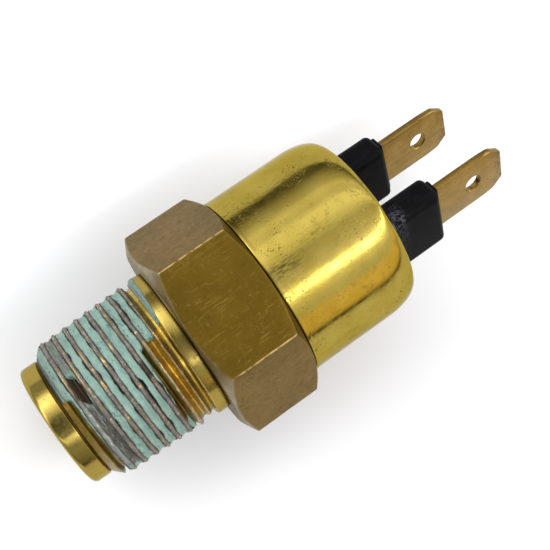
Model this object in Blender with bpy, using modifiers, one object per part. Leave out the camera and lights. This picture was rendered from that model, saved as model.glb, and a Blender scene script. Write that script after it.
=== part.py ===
# Pressure switch: hexagonal brass body with a tapered pipe thread, drawn brass
# cap, moulded terminal header with two push-on blades, and the diaphragm,
# piston, contact and calibration parts inside.
#
# The switch is modelled upright, with its axis on local +Z, under the empty
# "switch_axis", which lays it down: local +Z becomes world +X (towards the
# terminals), local -X becomes world +Z, local +Y stays world +Y.
# The origin is on the axis, in the plane of the hexagon's seat face.

import bpy
import bmesh
import math
from mathutils import Matrix, Vector

MM = 0.001

# ---------------------------------------------------------------- dimensions
# All in millimetres.  Heights are distances from the hexagon's seat face.

SEG_BODY = 32            # facets round the body and its thread
SEG_CAP = 36             # facets round the cap
SEG_INNER = 24           # facets round the inner turned parts
GAP = 0.15               # assembly gap between neighbouring pieces

# hexagon (7/8 in across flats)
HEX_AF = 22.225
HEX_H = 9.83
HEX_FACE_R = 10.95       # radius where the chamfer meets the end faces
HEX_CHAMFER = math.radians(28.0)

# threaded shank, 3/8-18 taper pipe thread
PITCH = 25.4 / 18.0
TAPER = 1.0 / 16.0       # on diameter
THREAD_Z0 = -14.43       # crest height where the thread helix crosses local +X
THREAD_LO = -13.95       # foot of the lead-in cone
THREAD_LO_R = 7.20
THREAD_HI = -1.75        # end of the run-out
THREAD_RUNOUT = 1.00
CREST_R = 8.53           # crest radius at THREAD_MID
THREAD_MID = -7.6
THREAD_DEPTH = 0.95
CREST_W = 0.20
ROOT_W = 0.20
COLLAR_R = 8.68
COLLAR_LO = -1.50
RELIEF_R = 7.90
NOSE_END = -16.25
NOSE_R = 7.13
NOSE_LAND = 2.05
NECK_R = 6.92

# pressure port and diaphragm cavity
PORT_R = 1.60
CHAMBER_R = 5.20
CHAMBER_Z = 5.60
FLOOR_Z = 6.80
CAVITY_R = 8.30
SPIGOT_R = 10.15
SPIGOT_Z = 13.20

# cap
CAP_R = 10.91
CAP_T = 0.50
CAP_Z0 = 9.98
CAP_SHOULDER_Z = 20.12
CAP_END_Z = 23.92
CAP_END_R = 9.54
CAP_OPEN_R = 9.00

# terminals: 6.3 x 0.8 mm push-on blades
BLADE_W = 6.30
BLADE_T = 0.80
BLADE_TIP = 39.99
BLADE_HOLE_Z = 35.93
BLADE_HOLE_R = 1.00
BLADE_CHAMFER = 1.25
BLADE_OFFSET = 5.023     # blade mid plane to switch axis
BLADE_STAGGER = 0.526    # blade centre line to the mid plane of the pair
TERMINAL_ANGLE = math.radians(-33.9)
FOOT_Z0 = 16.55
FOOT_REACH = 7.20

# header
BOSS_W = 8.00
BOSS_T = 3.70
BOSS_R = 1.15
BOSS_ROUND = 0.55
BOSS_END = 31.01
HEADER_R = 10.10
HEADER_FLOOR = 17.50     # roof of the contact chamber
HEADER_TOP = 22.60
HUB_R = 2.35
HUB_TOP = 25.00
POCKET_R = 2.80
POCKET_TOP = 21.90
SCREW_R = 1.50
POTTING_R = 8.75
POTTING_TOP = 24.55

# moving parts
TRAVEL = 0.50            # piston travel from rest to stop
CONTACT_OFFSET = 6.20    # contact buttons to the axis
CONTACT_R = 1.10

# ---------------------------------------------------------------- clean start
for ob in list(bpy.data.objects):
    bpy.data.objects.remove(ob, do_unlink=True)

scene = bpy.context.scene
PARTS = bpy.data.collections.new("pressure_switch")
TOOLS = bpy.data.collections.new("cutters")
scene.collection.children.link(PARTS)
scene.collection.children.link(TOOLS)

axis_empty = bpy.data.objects.new("switch_axis", None)
axis_empty.empty_display_size = 0.02
axis_empty.rotation_euler = (0.0, math.radians(90.0), 0.0)
PARTS.objects.link(axis_empty)


# ---------------------------------------------------------------- materials
def material(name, colour, rough, metal):
    mat = bpy.data.materials.new(name)
    mat.use_nodes = True
    bsdf = mat.node_tree.nodes["Principled BSDF"]
    bsdf.inputs["Base Color"].default_value = (*colour, 1.0)
    bsdf.inputs["Roughness"].default_value = rough
    bsdf.inputs["Metallic"].default_value = metal
    mat.diffuse_color = (*colour, 1.0)
    return mat


# ---------------------------------------------------------------- helpers
def add(name, mesh, mat=None, tool=False, place=None):
    """Link a mesh as an object under the axis empty."""
    ob = bpy.data.objects.new(name, mesh)
    (TOOLS if tool else PARTS).objects.link(ob)
    ob.parent = axis_empty
    if place is not None:
        ob.matrix_local = place
    if tool:
        ob.display_type = 'WIRE'
        ob.hide_render = True
    if mat is not None:
        mesh.materials.append(mat)
    return ob


def turned(name, profile, steps, mat=None, tool=False, closed=False):
    """Turn a profile of (radius, height) points about the axis.  The outer
    side runs from top to bottom; a closed profile then comes back up the
    inner side."""
    mesh = bpy.data.meshes.new(name)
    bm = bmesh.new()
    vs = [bm.verts.new((r * MM, 0.0, z * MM)) for r, z in profile]
    for a, b in zip(vs, vs[1:]):
        bm.edges.new((a, b))
    if closed:
        bm.edges.new((vs[-1], vs[0]))
    bm.to_mesh(mesh)
    bm.free()
    ob = add(name, mesh, mat, tool)
    mod = ob.modifiers.new("turn", 'SCREW')
    mod.axis = 'Z'
    mod.angle = 2.0 * math.pi
    mod.steps = steps
    mod.render_steps = steps
    mod.use_merge_vertices = True
    mod.merge_threshold = 0.00001
    mod.use_smooth_shade = True
    return ob


def boolean(ob, tool, operation):
    mod = ob.modifiers.new(operation.lower() + "_" + tool.name, 'BOOLEAN')
    mod.operation = operation
    mod.solver = 'EXACT'
    mod.object = tool
    return mod


def box(name, size, centre, mat=None, tool=False, place=None,
        side_bevel=0.0, top_bevel=0.0, segments=3):
    """Box of the given size, its upright edges and its top rim rounded."""
    mesh = bpy.data.meshes.new(name)
    bm = bmesh.new()
    bmesh.ops.create_cube(bm, size=1.0)
    bmesh.ops.scale(bm, vec=Vector(size) * MM, verts=bm.verts)
    bmesh.ops.translate(bm, vec=Vector(centre) * MM, verts=bm.verts)
    if side_bevel > 0.0:
        upright = [e for e in bm.edges
                   if abs(e.verts[0].co.z - e.verts[1].co.z) > 1e-6]
        bmesh.ops.bevel(bm, geom=upright, offset=side_bevel * MM,
                        segments=segments, profile=0.5, affect='EDGES')
    if top_bevel > 0.0:
        top = max(v.co.z for v in bm.verts)
        rim = [e for e in bm.edges
               if all(abs(v.co.z - top) < 1e-7 for v in e.verts)
               and any(abs(f.normal.z) < 0.5 for f in e.link_faces)]
        bmesh.ops.bevel(bm, geom=rim, offset=top_bevel * MM, segments=2,
                        profile=0.5, affect='EDGES')
    bm.to_mesh(mesh)
    bm.free()
    return add(name, mesh, mat, tool, place)


def rod(name, radius, z0, z1, mat=None, tool=False, place=None, steps=32,
        direction='Z', at=(0.0, 0.0, 0.0)):
    """Plain round bar between two heights, or across the axis."""
    mesh = bpy.data.meshes.new(name)
    bm = bmesh.new()
    bmesh.ops.create_cone(bm, cap_ends=True, segments=steps,
                          radius1=radius * MM, radius2=radius * MM,
                          depth=(z1 - z0) * MM)
    bmesh.ops.translate(bm, vec=(0.0, 0.0, 0.5 * (z0 + z1) * MM), verts=bm.verts)
    if direction == 'Y':
        bmesh.ops.rotate(bm, cent=(0, 0, 0), verts=bm.verts,
                         matrix=Matrix.Rotation(math.radians(-90.0), 3, 'X'))
    bmesh.ops.translate(bm, vec=Vector(at) * MM, verts=bm.verts)
    bm.to_mesh(mesh)
    bm.free()
    return add(name, mesh, mat, tool, place)


def taper_at(z):
    """Radial growth of the taper between THREAD_MID and height z."""
    return (z - THREAD_MID) * TAPER * 0.5


def helix_bar(name, section, first, last, mat=None, tool=False, shape=None):
    """Sweep a closed section of (radius, height) points along the thread's
    right-hand helix, from turn first to turn last.  shape(radius, height)
    gives a point's final radius."""
    mesh = bpy.data.meshes.new(name)
    bm = bmesh.new()
    start = round(first * SEG_BODY) / SEG_BODY
    steps = int(round((last - start) * SEG_BODY))
    a0 = 2.0 * math.pi * start
    vs = [bm.verts.new((r * MM * math.cos(a0), r * MM * math.sin(a0),
                        (THREAD_Z0 + PITCH * start + z) * MM))
          for r, z in section]
    face = bm.faces.new(vs)
    bmesh.ops.spin(bm, geom=[face] + list(face.edges) + list(face.verts),
                   cent=(0, 0, 0), axis=(0, 0, 1),
                   dvec=(0.0, 0.0, PITCH * MM / SEG_BODY),
                   angle=2.0 * math.pi * steps / SEG_BODY, steps=steps,
                   use_duplicate=False)
    bmesh.ops.remove_doubles(bm, verts=bm.verts, dist=1e-8)
    if shape is not None:
        for v in bm.verts:
            r = math.hypot(v.co.x, v.co.y)
            new = shape(r / MM, v.co.z / MM)
            v.co.x *= new * MM / r
            v.co.y *= new * MM / r
    bmesh.ops.recalc_face_normals(bm, faces=bm.faces)
    bm.to_mesh(mesh)
    bm.free()
    return add(name, mesh, mat, tool)


BLADES = Matrix.Rotation(TERMINAL_ANGLE, 4, 'Z')
BLADES_OPP = Matrix.Rotation(TERMINAL_ANGLE + math.pi, 4, 'Z')

brass_body = material("brass_body", (0.42, 0.29, 0.09), 0.34, 1.0)
brass_cap = material("brass_cap", (0.72, 0.55, 0.13), 0.18, 1.0)
brass_blade = material("brass_blade", (0.55, 0.38, 0.14), 0.33, 1.0)
sealant_mat = material("thread_sealant", (0.27, 0.47, 0.40), 0.75, 0.0)
plastic_black = material("plastic_black", (0.012, 0.012, 0.014), 0.42, 0.0)
potting_grey = material("potting_grey", (0.45, 0.45, 0.46), 0.65, 0.0)
steel = material("steel", (0.56, 0.57, 0.58), 0.32, 1.0)
spring_steel = material("spring_steel", (0.40, 0.41, 0.43), 0.28, 1.0)
silver = material("silver", (0.82, 0.81, 0.78), 0.22, 1.0)
rubber = material("rubber", (0.03, 0.03, 0.03), 0.70, 0.0)
polyimide = material("polyimide", (0.55, 0.27, 0.05), 0.30, 0.0)
plastic_white = material("plastic_white", (0.70, 0.68, 0.62), 0.50, 0.0)

# ================================================================ body
# one turned section: shank, collar, wall behind the hexagon and spigot,
# with the port, the pressure chamber and the diaphragm cavity inside
body_profile = [
    (SPIGOT_R - 0.25, SPIGOT_Z), (SPIGOT_R, SPIGOT_Z - 0.25),
    (SPIGOT_R, 9.60),
    (10.50, 9.50), (10.50, 0.25), (8.55, 0.25),
    (COLLAR_R, 0.15), (COLLAR_R, COLLAR_LO + 0.15),
    (COLLAR_R - 0.15, COLLAR_LO), (RELIEF_R, COLLAR_LO - 0.15),
    (RELIEF_R, THREAD_HI - 0.35), (NECK_R, THREAD_HI - 0.45),
    (NECK_R, NOSE_END + NOSE_LAND),
    (NOSE_R - 0.08, NOSE_END + NOSE_LAND), (NOSE_R, NOSE_END + NOSE_LAND - 0.12),
    (NOSE_R, NOSE_END + 0.45), (NOSE_R - 0.12, NOSE_END + 0.15),
    (NOSE_R - 0.45, NOSE_END),
    (PORT_R + 0.40, NOSE_END), (PORT_R, NOSE_END + 0.40),
    (PORT_R, CHAMBER_Z), (CHAMBER_R, CHAMBER_Z), (CHAMBER_R, FLOOR_Z),
    (CAVITY_R, FLOOR_Z), (CAVITY_R, SPIGOT_Z - 0.25),
    (CAVITY_R + 0.25, SPIGOT_Z),
]
# the short step at the seat face lies inside the hexagon, drop the repeat
body_profile = [p for p in body_profile if p != (8.55, 0.25)]
body = turned("body", body_profile, SEG_BODY, brass_body, closed=True)

# hexagon: prism, both ends chamfered by a double cone, bored out so that it
# only adds to the turned section's outside
hex_mesh = bpy.data.meshes.new("hex_blank")
bm = bmesh.new()
bmesh.ops.create_cone(bm, cap_ends=True, segments=6,
                      radius1=HEX_AF / math.sqrt(3.0) * MM,
                      radius2=HEX_AF / math.sqrt(3.0) * MM,
                      depth=(HEX_H + 2.0) * MM)
bmesh.ops.translate(bm, vec=(0, 0, 0.5 * HEX_H * MM), verts=bm.verts)
# corners on local +Y and -Y, flats on local +X and -X
first = max(bm.verts, key=lambda v: v.co.y)
turn_by = math.pi / 2 - math.atan2(first.co.y, first.co.x)
bmesh.ops.rotate(bm, cent=(0, 0, 0), verts=bm.verts,
                 matrix=Matrix.Rotation(turn_by, 3, 'Z'))
bm.to_mesh(hex_mesh)
bm.free()
hex_blank = add("hex_blank", hex_mesh, tool=True)

cone_out = 14.0
rise = (cone_out - HEX_FACE_R) * math.tan(HEX_CHAMFER)
hex_cone = turned("hex_cone", [
    (0.0, HEX_H), (HEX_FACE_R, HEX_H), (cone_out, HEX_H - rise),
    (cone_out, rise), (HEX_FACE_R, 0.0), (0.0, 0.0)], 96, tool=True)
hex_bore = rod("hex_bore", 8.50, -3.0, HEX_H + 3.0, tool=True, steps=SEG_BODY)
boolean(hex_blank, hex_cone, 'INTERSECT')
boolean(hex_blank, hex_bore, 'DIFFERENCE')
boolean(body, hex_blank, 'UNION')

# thread: a sleeve round the shank whose rows of points follow the helix, at
# the edges of the crest and of the root; a lead-in cone cuts the first turn
# and the last one runs out under the collar
def thread_radius(height, z):
    """Radius of the thread's surface, height above the root, at z."""
    r = CREST_R - THREAD_DEPTH + height + taper_at(z)
    cone = THREAD_LO_R + (z - THREAD_LO) * 1.02
    out = max(0.0, min(1.0, (z - (THREAD_HI - THREAD_RUNOUT)) / THREAD_RUNOUT))
    out = out * out * (3.0 - 2.0 * out)
    return min(cone, r + (RELIEF_R + 0.06 - r) * out)


def thread_sleeve():
    rows = [(-0.5 * CREST_W, THREAD_DEPTH), (0.5 * CREST_W, THREAD_DEPTH),
            (0.5 * (PITCH - ROOT_W), 0.0), (0.5 * (PITCH + ROOT_W), 0.0)]
    mesh = bpy.data.meshes.new("thread_sleeve")
    bm = bmesh.new()
    snap = 0.06

    def ring(radius, z):
        return [bm.verts.new((radius * MM * math.cos(2 * math.pi * i / SEG_BODY),
                              radius * MM * math.sin(2 * math.pi * i / SEG_BODY),
                              z * MM)) for i in range(SEG_BODY)]
    low = ring(THREAD_LO_R, THREAD_LO)
    high = ring(RELIEF_R + 0.06, THREAD_HI)
    table = []
    for turn in range(-2, 13):
        for offset, height in rows:
            line = []
            for i in range(SEG_BODY):
                a = 2.0 * math.pi * i / SEG_BODY
                z = THREAD_Z0 + PITCH * (turn + i / SEG_BODY) + offset
                if z < THREAD_LO + snap:
                    line.append(low[i])
                elif z > THREAD_HI - snap:
                    line.append(high[i])
                else:
                    r = thread_radius(height, z)
                    line.append(bm.verts.new((r * MM * math.cos(a),
                                              r * MM * math.sin(a), z * MM)))
            table.append(line)
    for k in range(len(table) - 5):
        for i in range(SEG_BODY):
            j = (i + 1) % SEG_BODY
            up = 4 if j == 0 else 0
            quad = [table[k][i], table[k + up][j],
                    table[k + 1 + up][j], table[k + 1][i]]
            corners = []
            for v in quad:
                if v not in corners:
                    corners.append(v)
            if len(corners) > 2:
                bm.faces.new(corners)
    bm.faces.new(list(reversed(low)))
    bm.faces.new(high)
    loose = [v for v in bm.verts if not v.link_faces]
    bmesh.ops.delete(bm, geom=loose, context='VERTS')
    bmesh.ops.recalc_face_normals(bm, faces=bm.faces)
    bm.to_mesh(mesh)
    bm.free()
    return add("thread_sleeve", mesh, tool=True)


# the sleeve is bored out to leave the port clear
sleeve = thread_sleeve()
sleeve_bore = rod("sleeve_bore", 6.20, -20.0, 5.0, tool=True, steps=SEG_BODY)
boolean(sleeve, sleeve_bore, 'DIFFERENCE')
boolean(body, sleeve, 'UNION')

# ================================================================ sealant
# a ribbon of set sealant lying in the thread groove
top_h = THREAD_DEPTH - 0.12
slope = 0.5 * (PITCH - ROOT_W - CREST_W) / THREAD_DEPTH


def groove_half(h):
    """Half width of the thread groove at height h above its root."""
    return 0.5 * ROOT_W + slope * h


base_r = CREST_R - THREAD_DEPTH
sealant = helix_bar("thread_sealant", [
    (base_r + 0.22, 0.5 * PITCH - (groove_half(0.22) - 0.11)),
    (base_r + 0.22, 0.5 * PITCH + groove_half(0.22) - 0.11),
    (base_r + top_h, 0.5 * PITCH + groove_half(top_h) - 0.11),
    (base_r + top_h, 0.5 * PITCH - (groove_half(top_h) - 0.11))],
    1.10, 7.60, sealant_mat,
    shape=lambda r, z: r + taper_at(z))

# ================================================================ cap
# drawn cup, its end rolled in over the header on an elliptical shoulder
cap_profile = [(CAP_OPEN_R, CAP_END_Z), (CAP_END_R, CAP_END_Z)]
arc = 7
for i in range(1, arc + 1):
    t = 0.5 * math.pi * (1.0 - i / arc)
    cap_profile.append((
        CAP_R - (CAP_R - CAP_END_R) * (1.0 - math.cos(t)),
        CAP_SHOULDER_Z + (CAP_END_Z - CAP_SHOULDER_Z) * math.sin(t)))
cap_profile += [(CAP_R, 15.0), (CAP_R, CAP_Z0)]
cap = turned("cap", cap_profile, SEG_CAP, brass_cap)
shell = cap.modifiers.new("sheet", 'SOLIDIFY')
shell.thickness = CAP_T * MM
shell.offset = -1.0
shell.use_even_offset = True

# ================================================================ header
header_profile = [
    (0.0, HUB_TOP), (HUB_R - 0.2, HUB_TOP), (HUB_R, HUB_TOP - 0.2),
    (HUB_R, HEADER_TOP), (8.45, HEADER_TOP), (9.30, 21.60),
    (HEADER_R, 19.90), (HEADER_R, 19.45), (9.20, 19.45), (9.20, 18.35),
    (HEADER_R, 18.35), (HEADER_R, SPIGOT_Z + 0.20),
    (8.00, SPIGOT_Z + 0.20), (8.00, 11.65), (7.20, 11.65), (7.20, 13.50),
    (8.50, 13.50), (8.50, HEADER_FLOOR), (POCKET_R, HEADER_FLOOR),
    (POCKET_R, POCKET_TOP), (SCREW_R + GAP, POCKET_TOP),
    (SCREW_R + GAP, HUB_TOP),
]
header_profile = header_profile[1:]
header = turned("header", header_profile, SEG_INNER, plastic_black, closed=True)

boss_z0 = 19.0
for index, place in ((1, BLADES), (2, BLADES_OPP)):
    boss = box("boss_%d" % index, (BOSS_W, BOSS_T, BOSS_END - boss_z0),
               (BLADE_STAGGER, BLADE_OFFSET, 0.5 * (BOSS_END + boss_z0)),
               tool=True, place=place, side_bevel=BOSS_R, top_bevel=BOSS_ROUND,
               segments=4)
    boolean(header, boss, 'UNION')
for index, place in ((1, BLADES), (2, BLADES_OPP)):
    slot = box("slot_%d" % index, (BLADE_W + 2 * GAP, BLADE_T + 2 * GAP, 20.0),
               (BLADE_STAGGER, BLADE_OFFSET, 25.0), tool=True, place=place)
    boolean(header, slot, 'DIFFERENCE')

# ================================================================ potting
potting = turned("end_potting", [
    (0.0, POTTING_TOP), (POTTING_R - 0.45, POTTING_TOP),
    (POTTING_R - 0.12, POTTING_TOP - 0.12), (POTTING_R, POTTING_TOP - 0.45),
    (POTTING_R, 23.25), (POTTING_R - 0.50, 22.75), (0.0, 22.75)],
    SEG_CAP, potting_grey)
hub_hole = rod("hub_hole", HUB_R + GAP, 20.0, 28.0, tool=True)
boolean(potting, hub_hole, 'DIFFERENCE')
for index, place in ((1, BLADES), (2, BLADES_OPP)):
    hole = box("boss_hole_%d" % index,
               (BOSS_W + 2 * GAP, BOSS_T + 2 * GAP, 8.0),
               (BLADE_STAGGER, BLADE_OFFSET, 24.0), tool=True, place=place,
               side_bevel=BOSS_R + GAP, segments=4)
    boolean(potting, hole, 'DIFFERENCE')

# ================================================================ terminals
def terminal(index, place):
    """Blade with its leg through the header and a foot bent outwards."""
    y0 = BLADE_OFFSET - 0.5 * BLADE_T
    y1 = BLADE_OFFSET + 0.5 * BLADE_T
    x0 = BLADE_STAGGER - 0.5 * BLADE_W
    name = "terminal_%d" % index
    mesh = bpy.data.meshes.new(name)
    bm = bmesh.new()
    outline = [(y0, FOOT_Z0), (FOOT_REACH, FOOT_Z0),
               (FOOT_REACH, FOOT_Z0 + BLADE_T), (y1, FOOT_Z0 + BLADE_T),
               (y1, BLADE_TIP), (y0, BLADE_TIP)]
    face = bm.faces.new([bm.verts.new((x0 * MM, y * MM, z * MM))
                         for y, z in outline])
    out = bmesh.ops.extrude_face_region(bm, geom=[face])
    moved = [g for g in out["geom"] if isinstance(g, bmesh.types.BMVert)]
    bmesh.ops.translate(bm, vec=(BLADE_W * MM, 0, 0), verts=moved)
    bmesh.ops.recalc_face_normals(bm, faces=bm.faces)
    # tip corners cut back
    tip = BLADE_TIP * MM
    corners = [e for e in bm.edges
               if all(abs(v.co.z - tip) < 1e-7 for v in e.verts)
               and abs(e.verts[0].co.y - e.verts[1].co.y) > 1e-6]
    bmesh.ops.bevel(bm, geom=corners, offset=BLADE_CHAMFER * MM, segments=1,
                    profile=0.5, affect='EDGES')
    # lead-in along the tip
    rim = [e for e in bm.edges
           if all(v.co.z > (BLADE_TIP - 1.6) * MM for v in e.verts)
           and abs(e.verts[0].co.y - e.verts[1].co.y) < 1e-7]
    bmesh.ops.bevel(bm, geom=rim, offset=0.16 * MM, segments=1,
                    profile=0.5, affect='EDGES')
    bm.to_mesh(mesh)
    bm.free()
    ob = add(name, mesh, brass_blade, place=place)
    hole = rod("blade_hole_%d" % index, BLADE_HOLE_R, BLADE_OFFSET - 2.0,
               BLADE_OFFSET + 2.0, tool=True, place=place, steps=24,
               direction='Y', at=(BLADE_STAGGER, 0.0, BLADE_HOLE_Z))
    boolean(ob, hole, 'DIFFERENCE')
    return ob


terminal(1, BLADES)
terminal(2, BLADES_OPP)

# ================================================================ contacts
fixed_z1 = FOOT_Z0 - GAP
fixed_z0 = fixed_z1 - 0.55
bridge_z0 = 13.90
bridge_z1 = 14.50
moving_z0 = bridge_z1 + GAP
moving_z1 = moving_z0 + 0.55
for index, place in ((1, BLADES), (2, BLADES_OPP)):
    rod("fixed_contact_%d" % index, CONTACT_R, fixed_z0, fixed_z1, silver,
        place=place, steps=20, at=(0.0, CONTACT_OFFSET, 0.0))
    rod("moving_contact_%d" % index, CONTACT_R, moving_z0, moving_z1, silver,
        place=place, steps=20, at=(0.0, CONTACT_OFFSET, 0.0))

bridge = box("contact_bridge", (3.60, 15.0, bridge_z1 - bridge_z0),
             (0.0, 0.0, 0.5 * (bridge_z0 + bridge_z1)), brass_blade,
             place=BLADES, side_bevel=1.2, segments=3)
bridge_hole = rod("bridge_hole", 1.30 + GAP, 12.0, 16.0, tool=True, steps=24)
boolean(bridge, bridge_hole, 'DIFFERENCE')

# ================================================================ plunger
turned("piston", [
    (0.0, 12.30), (1.30, 12.30), (1.50, 12.10), (1.50, 9.75), (3.80, 9.75),
    (4.00, 9.55), (4.00, 8.95), (3.80, 8.75), (0.0, 8.75)],
    SEG_INNER, steel)
turned("pusher", [
    (0.0, 15.60), (1.10, 15.60), (1.30, 15.40), (1.30, 13.75), (2.80, 13.75),
    (3.00, 13.55), (3.00, 12.65), (2.80, 12.45), (0.0, 12.45)],
    SEG_INNER, plastic_white)

# ================================================================ diaphragm
turned("guide_plate", [
    (8.00, 11.50), (8.00, 10.70), (1.60, 10.70), (1.60, 11.50)],
    SEG_INNER, steel, closed=True)
turned("clamp_ring", [
    (8.00, 10.55), (8.00, 8.75), (6.10, 8.75), (5.90, 8.95), (5.90, 10.55)],
    SEG_INNER, steel, closed=True)
roll = []
for i in range(5):
    t = math.pi * i / 4.0
    roll.append((4.95 + 0.65 * math.cos(t), 0.50 * math.sin(t)))
turned("diaphragm",
       [(0.0, 8.60)] + [(r, 8.60 + h) for r, h in reversed(roll)] +
       [(7.90, 8.60), (7.90, 8.30)] +
       [(4.95 + (r - 4.95) * 0.55, 8.30 + h * 0.9) for r, h in roll] +
       [(0.0, 8.30)],
       SEG_INNER, polyimide)


def o_ring(name, major, minor, z):
    mesh = bpy.data.meshes.new(name)
    bpy.ops.mesh.primitive_torus_add(
        major_segments=SEG_INNER, minor_segments=6,
        major_radius=major * MM, minor_radius=minor * MM)
    ob = bpy.context.object
    for coll in list(ob.users_collection):
        coll.objects.unlink(ob)
    PARTS.objects.link(ob)
    bpy.data.meshes.remove(mesh)
    ob.name = name
    ob.data.name = name
    ob.data.transform(Matrix.Translation((0, 0, z * MM)))
    ob.data.materials.append(rubber)
    ob.parent = axis_empty
    return ob


o_ring("diaphragm_seal", 6.90, 0.60, 7.55)
o_ring("header_seal", 9.80, 0.42, 18.90)

# ================================================================ calibration
SPRING_Z0 = 15.20
SPRING_Z1 = 20.12
WIRE_R = 0.27
SPRING_R = 2.08
COILS = 6.0


def spring_height(f):
    """Wire centre height at fraction f; the end coils lie closed."""
    z0 = SPRING_Z0 + WIRE_R
    z1 = SPRING_Z1 - WIRE_R
    flat = 0.62                      # closed coil pitch
    turn = f * COILS
    if turn < 1.0:
        return z0 + flat * turn
    if turn > COILS - 1.0:
        return z1 - flat * (COILS - turn)
    return z0 + flat + (turn - 1.0) / (COILS - 2.0) * (z1 - z0 - 2.0 * flat)


def spring():
    curve = bpy.data.curves.new("calibration_spring", 'CURVE')
    curve.dimensions = '3D'
    curve.bevel_depth = WIRE_R * MM
    curve.bevel_resolution = 2
    curve.use_fill_caps = True
    points = int(COILS * 12) + 1
    line = curve.splines.new('POLY')
    line.points.add(points - 1)
    for i in range(points):
        f = i / (points - 1)
        a = 2.0 * math.pi * COILS * f
        line.points[i].co = (SPRING_R * MM * math.cos(a),
                             SPRING_R * MM * math.sin(a),
                             spring_height(f) * MM, 1.0)
    wire = bpy.data.objects.new("spring_wire", curve)
    PARTS.objects.link(wire)
    wire.parent = axis_empty
    bpy.context.view_layer.update()
    graph = bpy.context.evaluated_depsgraph_get()
    mesh = bpy.data.meshes.new_from_object(wire.evaluated_get(graph))
    bm = bmesh.new()
    bm.from_mesh(mesh)
    bmesh.ops.remove_doubles(bm, verts=bm.verts, dist=1e-7)
    bmesh.ops.recalc_face_normals(bm, faces=bm.faces)
    bm.to_mesh(mesh)
    bm.free()
    bpy.data.objects.remove(wire, do_unlink=True)
    mesh.name = "calibration_spring"
    return add("calibration_spring", mesh, spring_steel)


spring()

turned("spring_seat", [
    (0.0, 20.95), (2.30, 20.95), (2.50, 20.75), (2.50, 20.28),
    (1.50, 20.28), (1.50, 19.50), (1.30, 19.30), (0.0, 19.30)],
    SEG_INNER, steel)
screw = turned("calibration_screw", [
    (0.0, 24.40), (SCREW_R - 0.15, 24.40), (SCREW_R, 24.25),
    (SCREW_R, 21.45), (SCREW_R - 0.30, 21.10), (0.0, 21.10)],
    SEG_INNER, brass_blade)
driver_slot = box("driver_slot", (4.0, 0.50, 2.0), (0.0, 0.0, 24.60),
                  tool=True)
boolean(screw, driver_slot, 'DIFFERENCE')

# ---------------------------------------------------------------- shading
for ob in PARTS.objects:
    if ob.type == 'MESH':
        ob.data.shade_smooth()
        ob.data.set_sharp_from_angle(angle=math.radians(30.0))
bpy.context.view_layer.update()
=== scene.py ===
import math

import bmesh
import bpy
import numpy as np
from mathutils import Matrix, Vector


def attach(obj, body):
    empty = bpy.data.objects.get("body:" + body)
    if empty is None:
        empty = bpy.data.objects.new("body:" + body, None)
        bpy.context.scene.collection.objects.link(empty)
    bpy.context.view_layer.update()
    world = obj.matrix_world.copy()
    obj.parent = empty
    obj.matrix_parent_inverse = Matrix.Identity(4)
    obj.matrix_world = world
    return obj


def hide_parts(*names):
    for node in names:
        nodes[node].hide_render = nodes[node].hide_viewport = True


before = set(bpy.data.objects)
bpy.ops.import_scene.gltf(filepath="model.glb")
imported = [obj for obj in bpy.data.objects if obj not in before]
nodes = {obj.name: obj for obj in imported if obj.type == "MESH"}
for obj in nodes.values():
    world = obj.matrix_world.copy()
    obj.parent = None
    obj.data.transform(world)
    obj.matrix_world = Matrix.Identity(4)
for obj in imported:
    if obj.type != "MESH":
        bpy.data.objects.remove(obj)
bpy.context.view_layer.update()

# Lengths below are in millimetres, angles round the axis are measured from +Z
# towards +Y.  The axis is +X, the origin is in the hexagon's seat plane.
MM = 0.001
TAU = 2.0 * math.pi

HEX_AF = 22.225
HEX_H = 9.83
HEX_FACE_R = 10.95
HEX_CHAMFER = math.radians(28.0)
PITCH = 25.4 / 18.0
TAPER = 1.0 / 16.0
THREAD_Z0 = -14.43
THREAD_LO, THREAD_LO_R = -13.95, 7.20
THREAD_HI, THREAD_RUNOUT = -1.75, 1.00
CREST_R, THREAD_MID, THREAD_DEPTH = 8.53, -7.6, 0.95
CREST_W, ROOT_W = 0.24, 0.20
COLLAR_R, COLLAR_LO, RELIEF_R = 8.68, -1.50, 7.90
NOSE_END, NOSE_R, NOSE_LAND, NECK_R = -16.25, 7.13, 2.05, 6.92
PORT_R = 1.60
CAP_R, CAP_T, CAP_Z0 = 10.91, 0.50, 9.87
CAP_SHOULDER_Z, CAP_END_Z, CAP_END_R, CAP_OPEN_R = 20.12, 23.92, 9.54, 9.00
BLADE_W, BLADE_T, BLADE_TIP = 6.30, 0.80, 39.99
BLADE_HOLE_Z, BLADE_HOLE_R, BLADE_CHAMFER = 35.93, 1.00, 1.25
BLADE_OFFSET, BLADE_STAGGER = 5.023, 0.526
TERMINAL_ANGLE = math.radians(-33.9)
BOSS_W, BOSS_T, BOSS_END = 8.45, 3.70, 30.55
HUB_R, HUB_TOP = 2.35, 25.00
POTTING_R, POTTING_TOP = 8.75, 24.55


# ------------------------------------------------------------------ noise
def _hash(ix, iy, iz, seed):
    n = (ix * 374761393 + iy * 668265263 + iz * 1442695041 + seed * 1274126177)
    n = n & 0xFFFFFFFF
    n = ((n ^ (n >> 13)) * 1274126177) & 0xFFFFFFFF
    return ((n ^ (n >> 16)) & 0xFFFFFF) / float(0xFFFFFF)


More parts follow.
